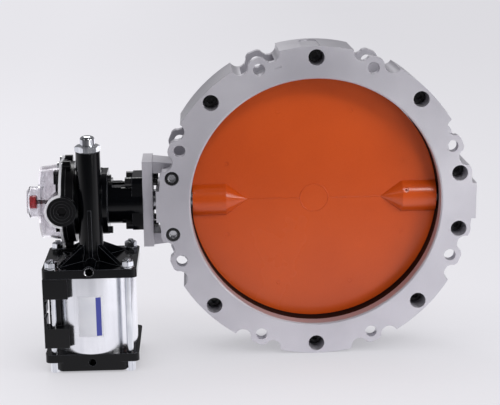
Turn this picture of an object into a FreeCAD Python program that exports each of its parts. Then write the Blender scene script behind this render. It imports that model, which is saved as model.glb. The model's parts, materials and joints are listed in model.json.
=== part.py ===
import FreeCAD, Part
import math
import os
import re

import Sketcher
from FreeCAD import Placement, Rotation, Vector

# Butterfly valve for bulk solids, DN 300, with a rack-and-pinion air actuator.
# Row frame in millimetres: origin at the centre of the bore on the shaft axis,
# +X along the shaft from the actuator to the idle side, +Y along the pipe,
# +Z up.  The disc is closed and the piston is at the bottom of its stroke.

# Every driving dimension: alias, value, what it measures.
SIZES = [
    # valve body
    ("overrun", 1, "how far a cutting tool runs past a face"),
    ("bore_dia", 300, "clear bore of the body"),
    ("body_depth", 80, "face to face along the pipe"),
    ("bore_chamfer", 1.8, "chamfer where the bore meets each face"),
    ("bolt_margin", 25, "pipe flange bolts outside the bore, in radius"),
    ("outline_margin", 13, "outer circle of the body outside the bolt circle, in radius"),
    ("bolt_count", 8, "pipe flange bolts"),
    ("bolt_hole_dia", 14, "holes in the ears for M12 bolts"),
    ("ear_plate", 12, "thickness of each ear"),
    ("ear_nose_radius", 14, "round end of an ear about its hole"),
    ("ear_trim", 3, "ears' shoulders outside the bolt circle"),
    ("ear_pocket_inset", 11, "flat floor between front and rear ears inside the bolt circle"),
    ("ear_pocket_width", 42, "gap between neighbouring solid segments at an ear"),
    ("scallop_radius", 10, "round cut on each side of an ear"),
    ("scallop_angle", 6, "degrees from an ear to its scallops"),
    ("relief_depth", 1.2, "depth of the recess on top of the body"),
    ("relief_width", 21, "width of that recess"),
    ("relief_front", 37, "how far it runs to the front of the split"),
    ("relief_rear", 19, "how far its straight part runs behind the split"),
    ("relief_angle", 91.7, "degrees from the shaft to the middle of the recess"),
    ("slot_inset", 6, "cast slot in the front face, inside the bolt circle"),
    ("slot_tall", 2.2, "that slot along the radius"),
    ("slot_wide", 9, "that slot along the ring"),
    ("slot_depth", 0.6, "its depth"),
    ("slot_angle", 105.5, "degrees from the shaft to the slot"),
    # side bosses
    ("drive_boss_proud", 3, "flat of the boss on the actuator side outside the body's circle"),
    ("drive_boss_half", 19, "half height of that flat"),
    ("idle_boss_proud", 4, "flat of the boss on the idle side outside the body's circle"),
    ("idle_boss_half", 22, "half height of that flat"),
    ("screw_boss_radius", 14.5, "rounding about the screws beside the bosses"),
    # screws that clamp the two half shells
    ("body_screw_dia", 10, "M10 cap screws"),
    ("body_head_dia", 16, "their heads"),
    ("body_head_height", 10, "height of their heads"),
    ("body_socket_size", 8, "hexagon socket across flats"),
    ("counterbore_dia", 19, "counterbores in the front shell"),
    ("counterbore_depth", 32, "depth of the deep ones"),
    ("flush_bore_dia", 17, "counterbores of the two beside the actuator"),
    ("flush_depth", 11, "their depth"),
    ("body_screw_grip", 20, "thread engagement in the rear shell"),
    ("side_screw_angle", 11.25, "degrees from the shaft to the screws beside it"),
    # seat liner
    ("liner_width", 46, "width of the rubber seat"),
    ("liner_groove_depth", 7, "its groove in the body"),
    ("liner_proud", 0.5, "sealing land inside the bore"),
    ("liner_land", 18, "width of the sealing land"),
    ("liner_shoulder", 4, "slope from the land to the bore"),
    ("liner_gap", 0.1, "play of the liner in its groove"),
    # disc
    ("seal_gap", 0.3, "running gap between disc and liner"),
    ("disc_thick", 16, "thickness of the disc"),
    ("hub_dia", 42, "shaft hubs on the disc"),
    ("hub_gap", 2, "outer end of each hub to the sealing land"),
    ("hub_length", 40.5, "straight part of a hub"),
    ("cone_length", 26.5, "nose of a hub, from there to its tip on the face of the disc"),
    ("bead_width", 1.2, "raised beads on the disc: a middle line and a ring"),
    ("disc_mark_dia", 34, "ring bead at the middle of the disc"),
    ("disc_dimple_inset", 35, "ejector marks inside the bore"),
    ("disc_dimple_dia", 5, "ejector marks"),
    ("disc_dimple_depth", 0.4, "their depth"),
    # shaft line
    ("shaft_dia", 25, "both stub shafts"),
    ("stub_grip", 43.5, "length of each stub shaft in its hub"),
    ("running_gap", 0.05, "radial clearance of a journal"),
    ("fit_gap", 0.02, "radial clearance of a fixed fit"),
    ("shaft_bush_wall", 3.5, "wall of the bronze shaft bushes"),
    ("shaft_bush_length", 23, "length of the shaft bushes"),
    ("shaft_seal_width", 4, "width of the shaft seals"),
    ("idle_end_wall", 6, "wall at the blind end of the idle side bore"),
    ("shaft_bore_gap", 1, "radial room about the shaft beyond its bush"),
    ("end_play", 1, "play at the end of a shaft"),
    ("bush_play", 0.2, "end play of bushes and seals"),
    ("grub_dia", 6, "grub screws in the hubs"),
    ("grub_inset", 4.1, "grub screws from where a hub starts to taper"),
    ("grub_rise", 27, "degrees from the front up to the grub screw on the idle side"),
    ("grub_tip", 9, "how far from the axis a grub screw ends"),
    ("grub_sink", 1, "grub screws below the hub"),
    ("grub_socket_depth", 3, "their sockets"),
    # pad plate and webs on the drive side
    ("pad_gap", 4, "pad plate to the flat of the boss"),
    ("pad_thick", 12, "thickness of the pad plate"),
    ("pad_width", 52, "width along the pipe"),
    ("pad_height", 104, "height of the pad plate"),
    ("web_bottom", 37, "inner edge of the webs above the shaft"),
    ("web_width", 40, "width of the webs along the pipe"),
    ("web_bury", 20, "how deep the webs run into the ring"),
    ("web_fall", 4, "how much lower a web ends at the ring"),
    # neck between pad plate and actuator head
    ("neck_length", 49, "pad plate to gear case"),
    ("neck_dia", 56, "tube of the neck"),
    ("neck_bore", 43, "inside of the neck"),
    ("neck_flat", 20.5, "height of the window cut in its top"),
    ("neck_window", 24, "length of that window"),
    ("neck_pad_flange", 13, "thickness of the flange on the pad plate"),
    ("neck_flange_height", 65, "height of that flange"),
    ("neck_head_flange", 7, "thickness of the flange on the actuator head"),
    ("neck_head_top", 37.5, "height of the flat on top of that flange"),
    ("neck_inner_wall", 10, "wall that carries the pinion bush"),
    ("pad_screw_dia", 8, "M8 screws through the neck flange"),
    ("pad_screw_width", 34, "their spacing along the pipe"),
    ("pad_screw_height", 51, "their spacing up and down"),
    ("pad_screw_grip", 18, "their engagement in the pad plate and the room behind it"),
    ("pad_screw_head", 12.8, "their heads"),
    ("pad_screw_socket", 6, "their sockets across flats"),
    ("head_screw_dia", 5, "M5 screws from the neck into the head"),
    ("head_screw_head", 8.5, "their heads"),
    ("head_screw_socket", 4, "their sockets across flats"),
    ("head_screw_grip", 9, "their engagement"),
    ("head_gap", 0.3, "radial gap about a screw head and between castings"),
    # coupling
    ("square_size", 17, "square ends of the shafts"),
    ("coupling_dia", 34, "sleeve coupling"),
    ("coupling_length", 32, "its length"),
    ("coupling_gap", 5, "coupling to the pad plate"),
    ("coupling_joint_gap", 3, "gap between the two square ends"),
    ("coupling_screw_dia", 6, "set screw of the coupling"),
    ("coupling_screw_sink", 0.5, "set screw below the coupling"),
    # rack-and-pinion
    ("rack_inset", 13.4, "axis of cylinder, rack and head from the right of the gear case"),
    ("rack_offset", 36, "rack axis in front of the shaft axis"),
    ("pinion_module", 2, "gear module"),
    ("pinion_teeth", 29, "pinion teeth"),
    ("pressure_angle", 20, "degrees"),
    ("dedendum", 1.25, "depth of a tooth space below the pitch line, in modules"),
    ("backlash", 0.3, "play along the pitch line"),
    ("pinion_width", 22, "face width"),
    ("pinion_shaft_dia", 25, "shaft in the pinion"),
    ("spindle_journal_dia", 20, "left journal of the pinion shaft"),
    ("pinion_bush_wall", 3, "wall of the pinion bushes"),
    ("key_width", 6, "square key in the pinion"),
    ("key_inset", 2, "key from each face of the pinion"),
    ("key_gap", 0.15, "play at the sides of the key"),
    ("quarter_turn", 90, "disc travel in degrees"),
    ("rack_dia", 20, "round rack"),
    ("rack_top", 6, "top of the rack above the shaft axis, valve closed"),
    ("rack_gap", 0.4, "radial gap of the rack in its tube"),
    ("rack_runout", 20, "teeth below the pinion, valve open"),
    ("rack_pad_dia", 8, "pad that backs the rack"),
    ("rack_pad_cover", 1.4, "wall of the tube in front of the pad"),
    # actuator head
    ("gear_cavity_gap", 2, "pinion to the inside of the gear case"),
    ("gear_case_rim", 7.5, "round wall of the gear case"),
    ("gear_case_length", 32, "gear case along the shaft"),
    ("gear_case_wall", 7, "left wall of the gear case"),
    ("tube_dia", 29, "rack tube"),
    ("tube_top", 68, "top of the rack tube"),
    ("tube_rib", 4.4, "rib down the front of the tube"),
    ("tube_rib_proud", 1.2, "how far it stands proud"),
    ("tube_flare", 3, "flare at the foot of the tube, in radius"),
    ("tube_flare_height", 8, "its height"),
    ("head_width", 110.5, "actuator head across"),
    ("head_depth", 104, "actuator head front to back"),
    ("head_top", -61.5, "top of the head plate"),
    ("head_thick", 10.5, "thickness of the head plate"),
    ("head_corner", 7, "corner radius of both heads"),
    ("rib_thick", 6, "diagonal ribs on the head"),
    ("rib_rise", 19, "height of those ribs at the tube"),
    ("rib_reach", 51, "how far the ribs reach from the tube axis"),
    ("rib_tip", 1, "their height at that end"),
    ("port_dia", 8.8, "G 1/8 air ports"),
    ("port_length", 10, "thread length of the air ports"),
    ("port_chamfer", 1, "countersink of the air ports"),
    ("port_face_dia", 14.4, "boss about the top port"),
    ("port_above", 3.2, "top port below the top of the plate"),
    ("air_way_dia", 5, "drilled air ways"),
    ("air_way_step", 0.3, "how much smaller the upright ones are in radius"),
    ("air_way_reach", 34, "air ways from the cylinder axis"),
    # cylinder
    ("barrel_bore", 100, "cylinder bore"),
    ("barrel_wall", 2, "wall of the barrel"),
    ("barrel_length", 93, "barrel between the heads"),
    ("spigot_gap", 0.3, "play of the head spigots in the barrel"),
    ("spigot_length", 5, "length of the head spigots"),
    ("oring_section", 2.9, "barrel seals"),
    ("oring_groove_depth", 3.2, "their grooves"),
    ("oring_groove_width", 3.2, "width of the grooves"),
    ("oring_groove_inset", 0.8, "grooves from the faces of the heads"),
    ("bottom_flange", 10, "thickness of the bottom head at its corners"),
    ("bottom_block", 10.5, "block below it"),
    ("bottom_block_width", 81, "width of that block"),
    ("rod_dia", 8, "tie rods"),
    ("rod_spread_x", 89, "tie rod spacing across"),
    ("rod_spread_y", 86, "tie rod spacing front to back"),
    ("rod_proud", 10.5, "tie rod ends above the head plate"),
    ("nut_flats", 13, "M8 nuts across flats"),
    ("nut_height", 6.5, "M8 nuts"),
    ("washer_dia", 16, "M8 washers"),
    ("washer_thick", 1.6, "M8 washers"),
    ("spot_gap", 1, "room about the washers and the foot nuts"),
    ("foot_dia", 11.6, "round foot nuts"),
    ("foot_length", 13, "their length"),
    ("foot_floor", 1.5, "closed end of the foot nuts"),
    ("thread_gap", 0.05, "radial gap of nuts and holes about a thread"),
    # piston
    ("piston_gap", 0.08, "radial gap of the piston"),
    ("piston_thick", 24, "piston"),
    ("piston_rest_gap", 0.5, "piston above the bottom head, valve closed"),
    ("piston_spigot_dia", 12, "end of the rack through the piston"),
    ("piston_nut_flats", 18, "nut below the piston"),
    ("piston_nut_height", 8, "its height"),
    ("piston_pocket_dia", 26, "pocket for that nut"),
    ("piston_pocket_depth", 9, "its depth"),
    ("piston_land", 3, "seal grooves from the faces of the piston"),
    ("piston_band_depth", 2, "groove of the wear band"),
    ("piston_groove_width", 4, "seal grooves"),
    ("piston_groove_depth", 4, "seal grooves"),
    ("rod_bush_dia", 26, "guide bush about the rack in the head"),
    ("rod_bush_length", 7, "its length"),
    ("rod_seal_length", 3.5, "rod seal below the bush"),
    ("rod_seal_inset", 0.5, "rod seal inside the spigot"),
    # stroke stop
    ("stop_dia", 17.5, "stroke stop screw"),
    ("stop_top", 87, "top of its dome"),
    ("stop_gap", 0.4, "gap to the rack with the valve open"),
    ("stop_thread_start", 54, "bottom of its thread in the tube"),
    ("jam_flats", 27, "jam nut across flats"),
    ("jam_height", 8, "jam nut"),
    # switch box
    ("box_dia", 102, "switch box base and cover flange"),
    ("box_height", 13.3, "base, from the gear case to the cover"),
    ("box_wall", 5, "inside of the base below its rim, in radius"),
    ("box_rim", 4, "width of the rim next to the cover"),
    ("box_rim_proud", 2, "how far that rim stands proud"),
    ("box_floor", 4, "floor of the base"),
    ("gasket_thick", 0.8, "gasket below the cover"),
    ("gasket_nip", 0.05, "gasket to the faces about it"),
    ("gasket_inset", 0.5, "gasket inside the rim"),
    ("cover_flange", 3, "thickness of the cover flange"),
    ("cover_step", 5, "cover inside its flange, in radius"),
    ("cover_wall", 2, "its wall"),
    ("cover_height", 27.5, "cover above the split"),
    ("cover_taper", 3, "how much smaller its end is in radius"),
    ("bubble_dia", 38, "clear bubble over the indicator"),
    ("bubble_height", 17.6, "bubble above the cover"),
    ("bubble_wall", 1.2, "its wall"),
    ("bubble_bevel", 4, "bevel of its end, in radius"),
    ("bubble_bevel_height", 3, "height of that bevel"),
    ("gland_boss_dia", 34.4, "cable entry boss"),
    ("gland_boss_proud", 4, "its front face in front of the base"),
    ("gland_boss_length", 25, "its length"),
    ("gland_face_rim", 4, "rim about its recessed front face"),
    ("gland_face_recess", 0.8, "depth of that recess"),
    ("gland_bore", 19, "cable entry"),
    ("gland_wrap_gap", 0.3, "gap between the boss and the cover about it"),
    ("gland_wrap_wall", 2.6, "wall of the cover about the boss"),
    ("gland_wrap_inset", 0.5, "that wall behind the front of the boss"),
    ("gland_wrap_floor", 2, "its closed rear end"),
    ("plug_length", 11, "plug in the cable entry"),
    ("plug_flats", 11, "hexagon socket of the plug"),
    ("plug_socket_depth", 5, "depth of that socket"),
    ("lug_dia", 10, "lugs for the cover screws"),
    ("lug_proud", 1, "their axes outside the base"),
    ("lug_spread", 20, "degrees from the vertical to each lug"),
    ("cover_screw_dia", 4, "M4 cover screws"),
    ("cover_screw_head", 6.4, "their heads"),
    ("cover_screw_head_height", 2.4, "height of their heads"),
    ("cover_screw_socket", 2.4, "their sockets across flats"),
    ("cover_screw_grip", 7.5, "their engagement"),
    ("box_screw_head", 7, "heads of the M4 screws in the base"),
    ("box_screw_socket", 3, "their sockets across flats"),
    ("box_screw_grip", 8, "their engagement"),
    ("spindle_dia", 5, "indicator spindle"),
    ("spindle_grip", 10, "its length in the pinion shaft"),
    ("knob_dia", 16, "red indicator"),
    ("knob_gap", 0.4, "indicator to the end of the bubble"),
    ("knob_cap", 4.6, "indicator beyond the spindle"),
    ("knob_grip", 4.2, "indicator over the spindle"),
    ("knob_chamfer", 1, "its edges"),
    ("cam_dia", 24, "switch cams"),
    ("cam_width", 4, "switch cams"),
    ("cam_flat", 2, "flat that frees a switch"),
    ("cam_inset", 0.6, "cams from the sides of the micro switches"),
    ("switch_proud", 13, "far side of the micro switches above the split"),
    ("switch_width", 10, "width of the micro switches"),
    ("switch_bottom", 22, "near face of the micro switches from the shaft axis"),
    ("switch_tall", 15, "height of the micro switches"),
    ("switch_long", 17, "their length front to back"),
    ("switch_back", 12.5, "their rear face, on the sheet bracket"),
    ("plunger_dia", 2.4, "their plungers"),
    ("plunger_gap", 0.4, "free plungers clear of the cams"),
    ("sheet_thick", 1.5, "sheet bracket of the micro switches"),
    ("sheet_foot", 7, "its foot"),
    ("terminal_tall", 12, "terminal block above the floor of the base"),
    ("terminal_deep", 10, "terminal block front to back"),
    ("terminal_wide", 30, "terminal block up and down"),
    ("terminal_back", 22, "its front face from the shaft axis"),
    # bracket clipped to the front left tie rod
    ("clip_width", 29, "width of each clip"),
    ("clip_height", 24, "height of each clip"),
    ("clip_top", -72.5, "top of the upper clip"),
    ("clip_pitch", 60, "upper clip to lower clip"),
    ("clip_front", 88, "front face of the clips"),
    ("clip_back", 68, "rear face of the clips"),
    ("clip_inset", 0.5, "clips from the side of the heads"),
    ("clip_spine", 3.5, "thickness of the outer spine"),
    ("clip_strip", 7, "width of the inner strip"),
    ("clip_strip_left", 12, "inner strip from the outer side of the clips"),
    ("clip_strip_thick", 6, "thickness of the inner strip"),
    ("clip_strip_front", 8, "front of the inner strip from the rear of the clips"),
    ("clip_notch", 4, "height of the notch in the spine"),
    ("clip_notch_depth", 2.5, "depth of the notch"),
    ("clip_notch_drop", 6, "notch below the upper clip"),
    ("clip_hole_dia", 5.2, "round cut in the spine"),
    ("clip_hole_drop", 20, "round cut below the upper clip"),
    # blank label on the barrel
    ("label_width", 29, "blank label around the barrel"),
    ("label_height", 49.5, "its height"),
    ("label_top", -94, "its top edge"),
    ("label_thick", 0.3, "its thickness"),
]

# Values worked out from the driving dimensions.
DERIVED = [
    # the body follows the bore
    ("half_depth", "body_depth / 2"),
    ("bolt_radius", "bore_dia / 2 + bolt_margin"),
    ("outline_dia", "2 * (bolt_radius + outline_margin)"),
    ("ear_trim_radius", "bolt_radius + ear_trim"),
    ("ear_pocket_floor", "bolt_radius - ear_pocket_inset"),
    ("drive_boss_reach", "outline_dia / 2 + drive_boss_proud"),
    ("idle_boss_reach", "outline_dia / 2 + idle_boss_proud"),
    ("idle_bore_end", "idle_boss_reach - idle_end_wall"),
    ("liner_outer_dia", "bore_dia + 2 * liner_groove_depth"),
    ("liner_inner_dia", "bore_dia - 2 * liner_proud"),
    ("liner_groove_half", "liner_width / 2 + liner_gap"),
    # the disc follows the liner
    ("disc_radius", "liner_inner_dia / 2 - seal_gap"),
    ("disc_dimple_radius", "bore_dia / 2 - disc_dimple_inset"),
    ("hub_end", "liner_inner_dia / 2 - hub_gap"),
    ("cone_start", "hub_end - hub_length"),
    ("cone_tip", "cone_start - cone_length"),
    ("stub_inner", "hub_end - stub_grip"),
    ("grub_reach", "cone_start + grub_inset"),
    ("bush_outer_radius", "shaft_dia / 2 + running_gap + shaft_bush_wall"),
    # the actuator stands off the body along the shaft
    ("pad_face", "drive_boss_reach + pad_gap + pad_thick"),
    ("web_root", "outline_dia / 2 - web_bury"),
    ("coupling_right", "-pad_face - coupling_gap"),
    ("coupling_left", "coupling_right - coupling_length"),
    ("gear_case_right", "pad_face + neck_length"),
    ("gear_case_left", "gear_case_right + gear_case_length"),
    ("act_x", "-gear_case_right - rack_inset"),
    ("act_y", "-rack_offset"),
    # rack, pinion and gear case
    ("pitch_radius", "pinion_module * pinion_teeth / 2"),
    ("stroke", "pitch_radius * pi * quarter_turn / 180"),
    ("rack_pitch_line", "rack_offset - pitch_radius"),
    ("toothed_length", "rack_top + stroke + rack_runout"),
    ("gear_cavity_dia", "2 * (pitch_radius + pinion_module + gear_cavity_gap)"),
    ("gear_case_dia", "gear_cavity_dia + 2 * gear_case_rim"),
    ("head_screw_radius", "(gear_cavity_dia + gear_case_dia) / 4"),
    ("key_length", "pinion_width - 2 * key_inset"),
    ("key_low", "(pinion_shaft_dia - key_width) / 2"),
    # cylinder, from the head plate down
    ("head_bottom", "head_top - head_thick"),
    ("barrel_bottom", "head_bottom - barrel_length"),
    ("barrel_dia", "barrel_bore + 2 * barrel_wall"),
    ("spigot_dia", "barrel_bore - 2 * spigot_gap"),
    ("bottom_corner", "barrel_bottom - bottom_flange"),
    ("bottom_of_block", "bottom_corner - bottom_block"),
    ("foot_level", "bottom_corner - foot_length"),
    ("piston_bottom", "barrel_bottom + spigot_length + piston_rest_gap"),
    ("piston_top", "piston_bottom + piston_thick"),
    ("stop_tip", "rack_top + stroke + stop_gap"),
    ("dome_radius", "stop_dia * 3 / 4"),
    # switch box, from the gear case outwards
    ("box_split", "gear_case_left + box_height"),
    ("cover_foot", "box_split + gasket_thick"),
    ("cover_end", "box_split + cover_height"),
    ("bubble_end", "cover_end + bubble_height"),
    ("knob_end", "bubble_end - bubble_wall - knob_gap"),
    ("spindle_end", "knob_end - knob_cap"),
    ("box_bore", "box_dia - 2 * box_wall"),
    ("cover_dia", "box_dia - 2 * cover_step"),
    ("box_inside", "gear_case_left + box_floor"),
    ("gland_boss_face", "box_dia / 2 + gland_boss_proud"),
    ("gland_boss_back", "gland_boss_face - gland_boss_length"),
    ("gland_wrap_radius", "gland_boss_dia / 2 + gland_wrap_gap"),
    ("lug_radius", "box_dia / 2 + lug_proud"),
    ("switch_far", "box_split + switch_proud"),
]

doc = FreeCAD.newDocument("ButterflyValve")
HOME = {}


def fill_sheet(name, rows):
    """Write one value or formula a row, with its alias and its meaning."""
    sheet = doc.addObject("Spreadsheet::Sheet", name)
    for row, (alias, content, *meaning) in enumerate(rows, start=1):
        sheet.set(f"A{row}", alias)
        sheet.set(f"B{row}", content if isinstance(content, str) else str(content))
        sheet.setAlias(f"B{row}", alias)
        if meaning:
            sheet.set(f"C{row}", meaning[0])
        HOME[alias] = f"{name}."
    doc.recompute()
    return sheet


def formula(text):
    """Put the sheet's name before every alias in a formula."""
    return re.sub(r"[a-z_]{2,}", lambda word: HOME.get(word.group(), "") + word.group(), str(text))


sizes = fill_sheet("Sizes", SIZES)
for alias, _ in DERIVED:
    HOME[alias] = "Derived."
derived = fill_sheet("Derived", [(alias, "=" + formula(text)) for alias, text in DERIVED])


def value(alias):
    """The number behind an alias, for the few shapes that are worked out here."""
    return float((sizes if HOME[alias] == "Sizes." else derived).get(alias))


# ---------------------------------------------------------------- primitives

# Turns that send a primitive's own +Z to the named direction of the row.
TOWARDS = {
    "+X": Rotation(Vector(0, 1, 0), 90),
    "-X": Rotation(Vector(0, 1, 0), -90),
    "+Y": Rotation(Vector(1, 0, 0), -90),
    "-Y": Rotation(Vector(1, 0, 0), 90),
    "+Z": Rotation(),
    "-Z": Rotation(Vector(1, 0, 0), 180),
}
# Turns that send a turned body's own +X to the named direction.
ALONG = {
    "+X": Rotation(),
    "-X": Rotation(Vector(0, 0, 1), 180),
    "+Y": Rotation(Vector(0, 0, 1), 90),
    "-Y": Rotation(Vector(0, 0, 1), -90),
    "+Z": Rotation(Vector(0, 1, 0), -90),
    "-Z": Rotation(Vector(0, 1, 0), 90),
}


def bind(thing, **formulas):
    """Bind properties of an object to formulas of the sheets."""
    for name, text in formulas.items():
        thing.setExpression(name, formula(text))
    return thing


def place(thing, at, turn=None):
    """Turn an object and bind its position."""
    thing.Placement = Placement(Vector(), turn or Rotation())
    for axis, text in zip("xyz", at):
        thing.setExpression(f"Placement.Base.{axis}", formula(text))
    return thing


def rod(radius, length, at, axis="+Z"):
    """Round bar that starts at a point and runs along an axis."""
    bar = doc.addObject("Part::Cylinder", "Rod")
    turn = axis if isinstance(axis, Rotation) else TOWARDS[axis]
    return place(bind(bar, Radius=radius, Height=length), at, turn)


def cone(radius, end_radius, length, at, axis="+Z"):
    """Cone frustum that starts at a point and runs along an axis."""
    taper = doc.addObject("Part::Cone", "Cone")
    return place(bind(taper, Radius1=radius, Radius2=end_radius, Height=length), at, TOWARDS[axis])


def block(size, at, turn=None):
    """Box with its lowest corner at a point."""
    box = doc.addObject("Part::Box", "Block")
    return place(bind(box, Length=size[0], Width=size[1], Height=size[2]), at, turn)


def hexagon(flats, length, at, axis="+Z"):
    """Hexagonal bar measured across flats."""
    bar = doc.addObject("Part::Prism", "Hexagon")
    bar.Polygon = 6
    bind(bar, Circumradius=f"({flats}) / 2 / cos(30)", Height=length)
    return place(bar, at, TOWARDS[axis])


def ring(radius, section, at, axis="+Z"):
    """Round ring of round section."""
    torus = doc.addObject("Part::Torus", "Ring")
    return place(bind(torus, Radius1=radius, Radius2=section), at, TOWARDS[axis])


def join(*things):
    """One solid out of several."""
    fused = doc.addObject("Part::MultiFuse", "Join")
    fused.Shapes = list(things)
    return fused


def together(*things):
    """Several solids that stay apart, as one object."""
    group = doc.addObject("Part::Compound", "Together")
    group.Links = list(things)
    return group


def cut(base, *tools):
    """A solid less one or more others."""
    less = doc.addObject("Part::Cut", "Cut")
    less.Base = base
    less.Tool = tools[0] if len(tools) == 1 else join(*tools)
    return less


def overlap(base, tool):
    """What two solids share."""
    shared = doc.addObject("Part::Common", "Overlap")
    shared.Base = base
    shared.Tool = tool
    return shared


def draw(sketch, outline):
    """Closed outline of straight lines, every corner bound to formulas."""
    count = len(outline)
    guess = [Vector(math.cos(2 * math.pi * i / count), math.sin(2 * math.pi * i / count), 0)
             for i in range(count)]
    for i in range(count):
        sketch.addGeometry(Part.LineSegment(guess[i], guess[(i + 1) % count]), False)
    for i in range(count):
        sketch.addConstraint(Sketcher.Constraint("Coincident", i, 2, (i + 1) % count, 1))
    for i, (across, up) in enumerate(outline):
        for kind, text, start in (("DistanceX", across, guess[i].x), ("DistanceY", up, guess[i].y)):
            index = sketch.addConstraint(Sketcher.Constraint(kind, -1, 1, i, 1, start))
            sketch.setExpression(f"Constraints[{index}]", formula(text))


def prism(plane, outline, depth, start=0):
    """Straight-sided outline in a plane of the row, run along the third axis."""
    turn = {"XY": Rotation(), "XZ": Rotation(Vector(1, 0, 0), 90),
            "YZ": Rotation(Vector(1, 1, 1), 120)}[plane]
    way = {"XY": Vector(0, 0, 1), "XZ": Vector(0, 1, 0), "YZ": Vector(1, 0, 0)}[plane]
    sketch = doc.addObject("Sketcher::SketchObject", "Outline")
    at = [start if way[i] else 0 for i in range(3)]
    place(sketch, at, turn)
    draw(sketch, outline)
    bar = doc.addObject("Part::Extrusion", "Prism")
    bar.Base = sketch
    bar.DirMode = "Custom"
    bar.Dir = way
    bar.Solid = True
    return bind(bar, LengthFwd=depth)


def turned(name, outline, at, axis):
    """Piece turned about an axis; its outline gives (along, radius) corners."""
    body = doc.addObject("PartDesign::Body", name + "_body")
    sketch = body.newObject("Sketcher::SketchObject", name + "_profile")
    plane = [part for part in body.Origin.OriginFeatures if part.Role == "XY_Plane"][0]
    sketch.AttachmentSupport = [(plane, "")]
    sketch.MapMode = "FlatFace"
    draw(sketch, outline)
    spin = body.newObject("PartDesign::Revolution", name + "_turned")
    spin.Profile = sketch
    spin.ReferenceAxis = (sketch, ["H_Axis"])
    spin.Angle = 360
    body.Tip = spin
    return place(body, at, ALONG[axis])


def tube(radius, inner, length, at, axis="+Z"):
    """Round tube."""
    return cut(rod(radius, length, at, axis), rod(inner, length, at, axis))


def rounded(base, radius, wanted):
    """Fillet of the edges that a test picks; the radius is the alias's value."""
    doc.recompute()
    fillet = doc.addObject("Part::Fillet", "Rounded")
    fillet.Base = base
    fillet.Edges = [(number, value(radius), value(radius))
                    for number, edge in enumerate(base.Shape.Edges, start=1) if wanted(edge)]
    return fillet


def runs_along(direction):
    """Test for straight edges that run along a direction."""
    def wanted(edge):
        ends = [vertex.Point for vertex in edge.Vertexes]
        return len(ends) == 2 and (ends[1] - ends[0]).cross(direction).Length < 1e-6
    return wanted


def round_plate(width, depth, thick, bottom):
    """Plate of the actuator with rounded upright corners."""
    plate = block((width, depth, thick),
                  (f"act_x - ({width}) / 2", f"act_y - ({depth}) / 2", bottom))
    return rounded(plate, "head_corner", runs_along(Vector(0, 0, 1)))


# ------------------------------------------------------- round the valve axis

def polar(radius, angle):
    """Formulas for X and Z of a point on a circle about the bore."""
    return f"({radius}) * cos({angle})", f"({radius}) * sin({angle})"


def through(radius, distance, angle, start, length):
    """Round bar along +Y at a polar place."""
    across, up = polar(distance, angle)
    return rod(radius, length, (across, start, up), "+Y")


def radial_block(out, out_length, along, along_length, width, angle):
    """Box that stands on a radius, centred on it across."""
    near = f"({width}) / 2"
    at = (f"({out}) * cos({angle}) + {near} * sin({angle})", along,
          f"({out}) * sin({angle}) - {near} * cos({angle})")
    turn = -value(angle) if isinstance(angle, str) else -angle
    return block((out_length, along_length, width), at, Rotation(Vector(0, 1, 0), turn))


PIECES = []


def piece(node, thing):
    """Name a finished sub-part after its node."""
    thing.Label = node
    PIECES.append((node, thing))
    return thing


BOLT_ANGLES = [360 / int(value("bolt_count")) * (i + 0.5) for i in range(int(value("bolt_count")))]
# Screws in the middle of the solid segments, away from the shaft.
SEGMENT_SCREWS = [45, 90, 135, 225, 270, 315]
SIDE = value("side_screw_angle")
DRIVE_SCREWS = [180 - SIDE, 180 + SIDE]
IDLE_SCREWS = [SIDE, -SIDE]
# Screws between neck, gear case and switch box, about the shaft.
HEAD_SCREWS = [0, 120, 240]


# ----------------------------------------------------------------- half shells

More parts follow.
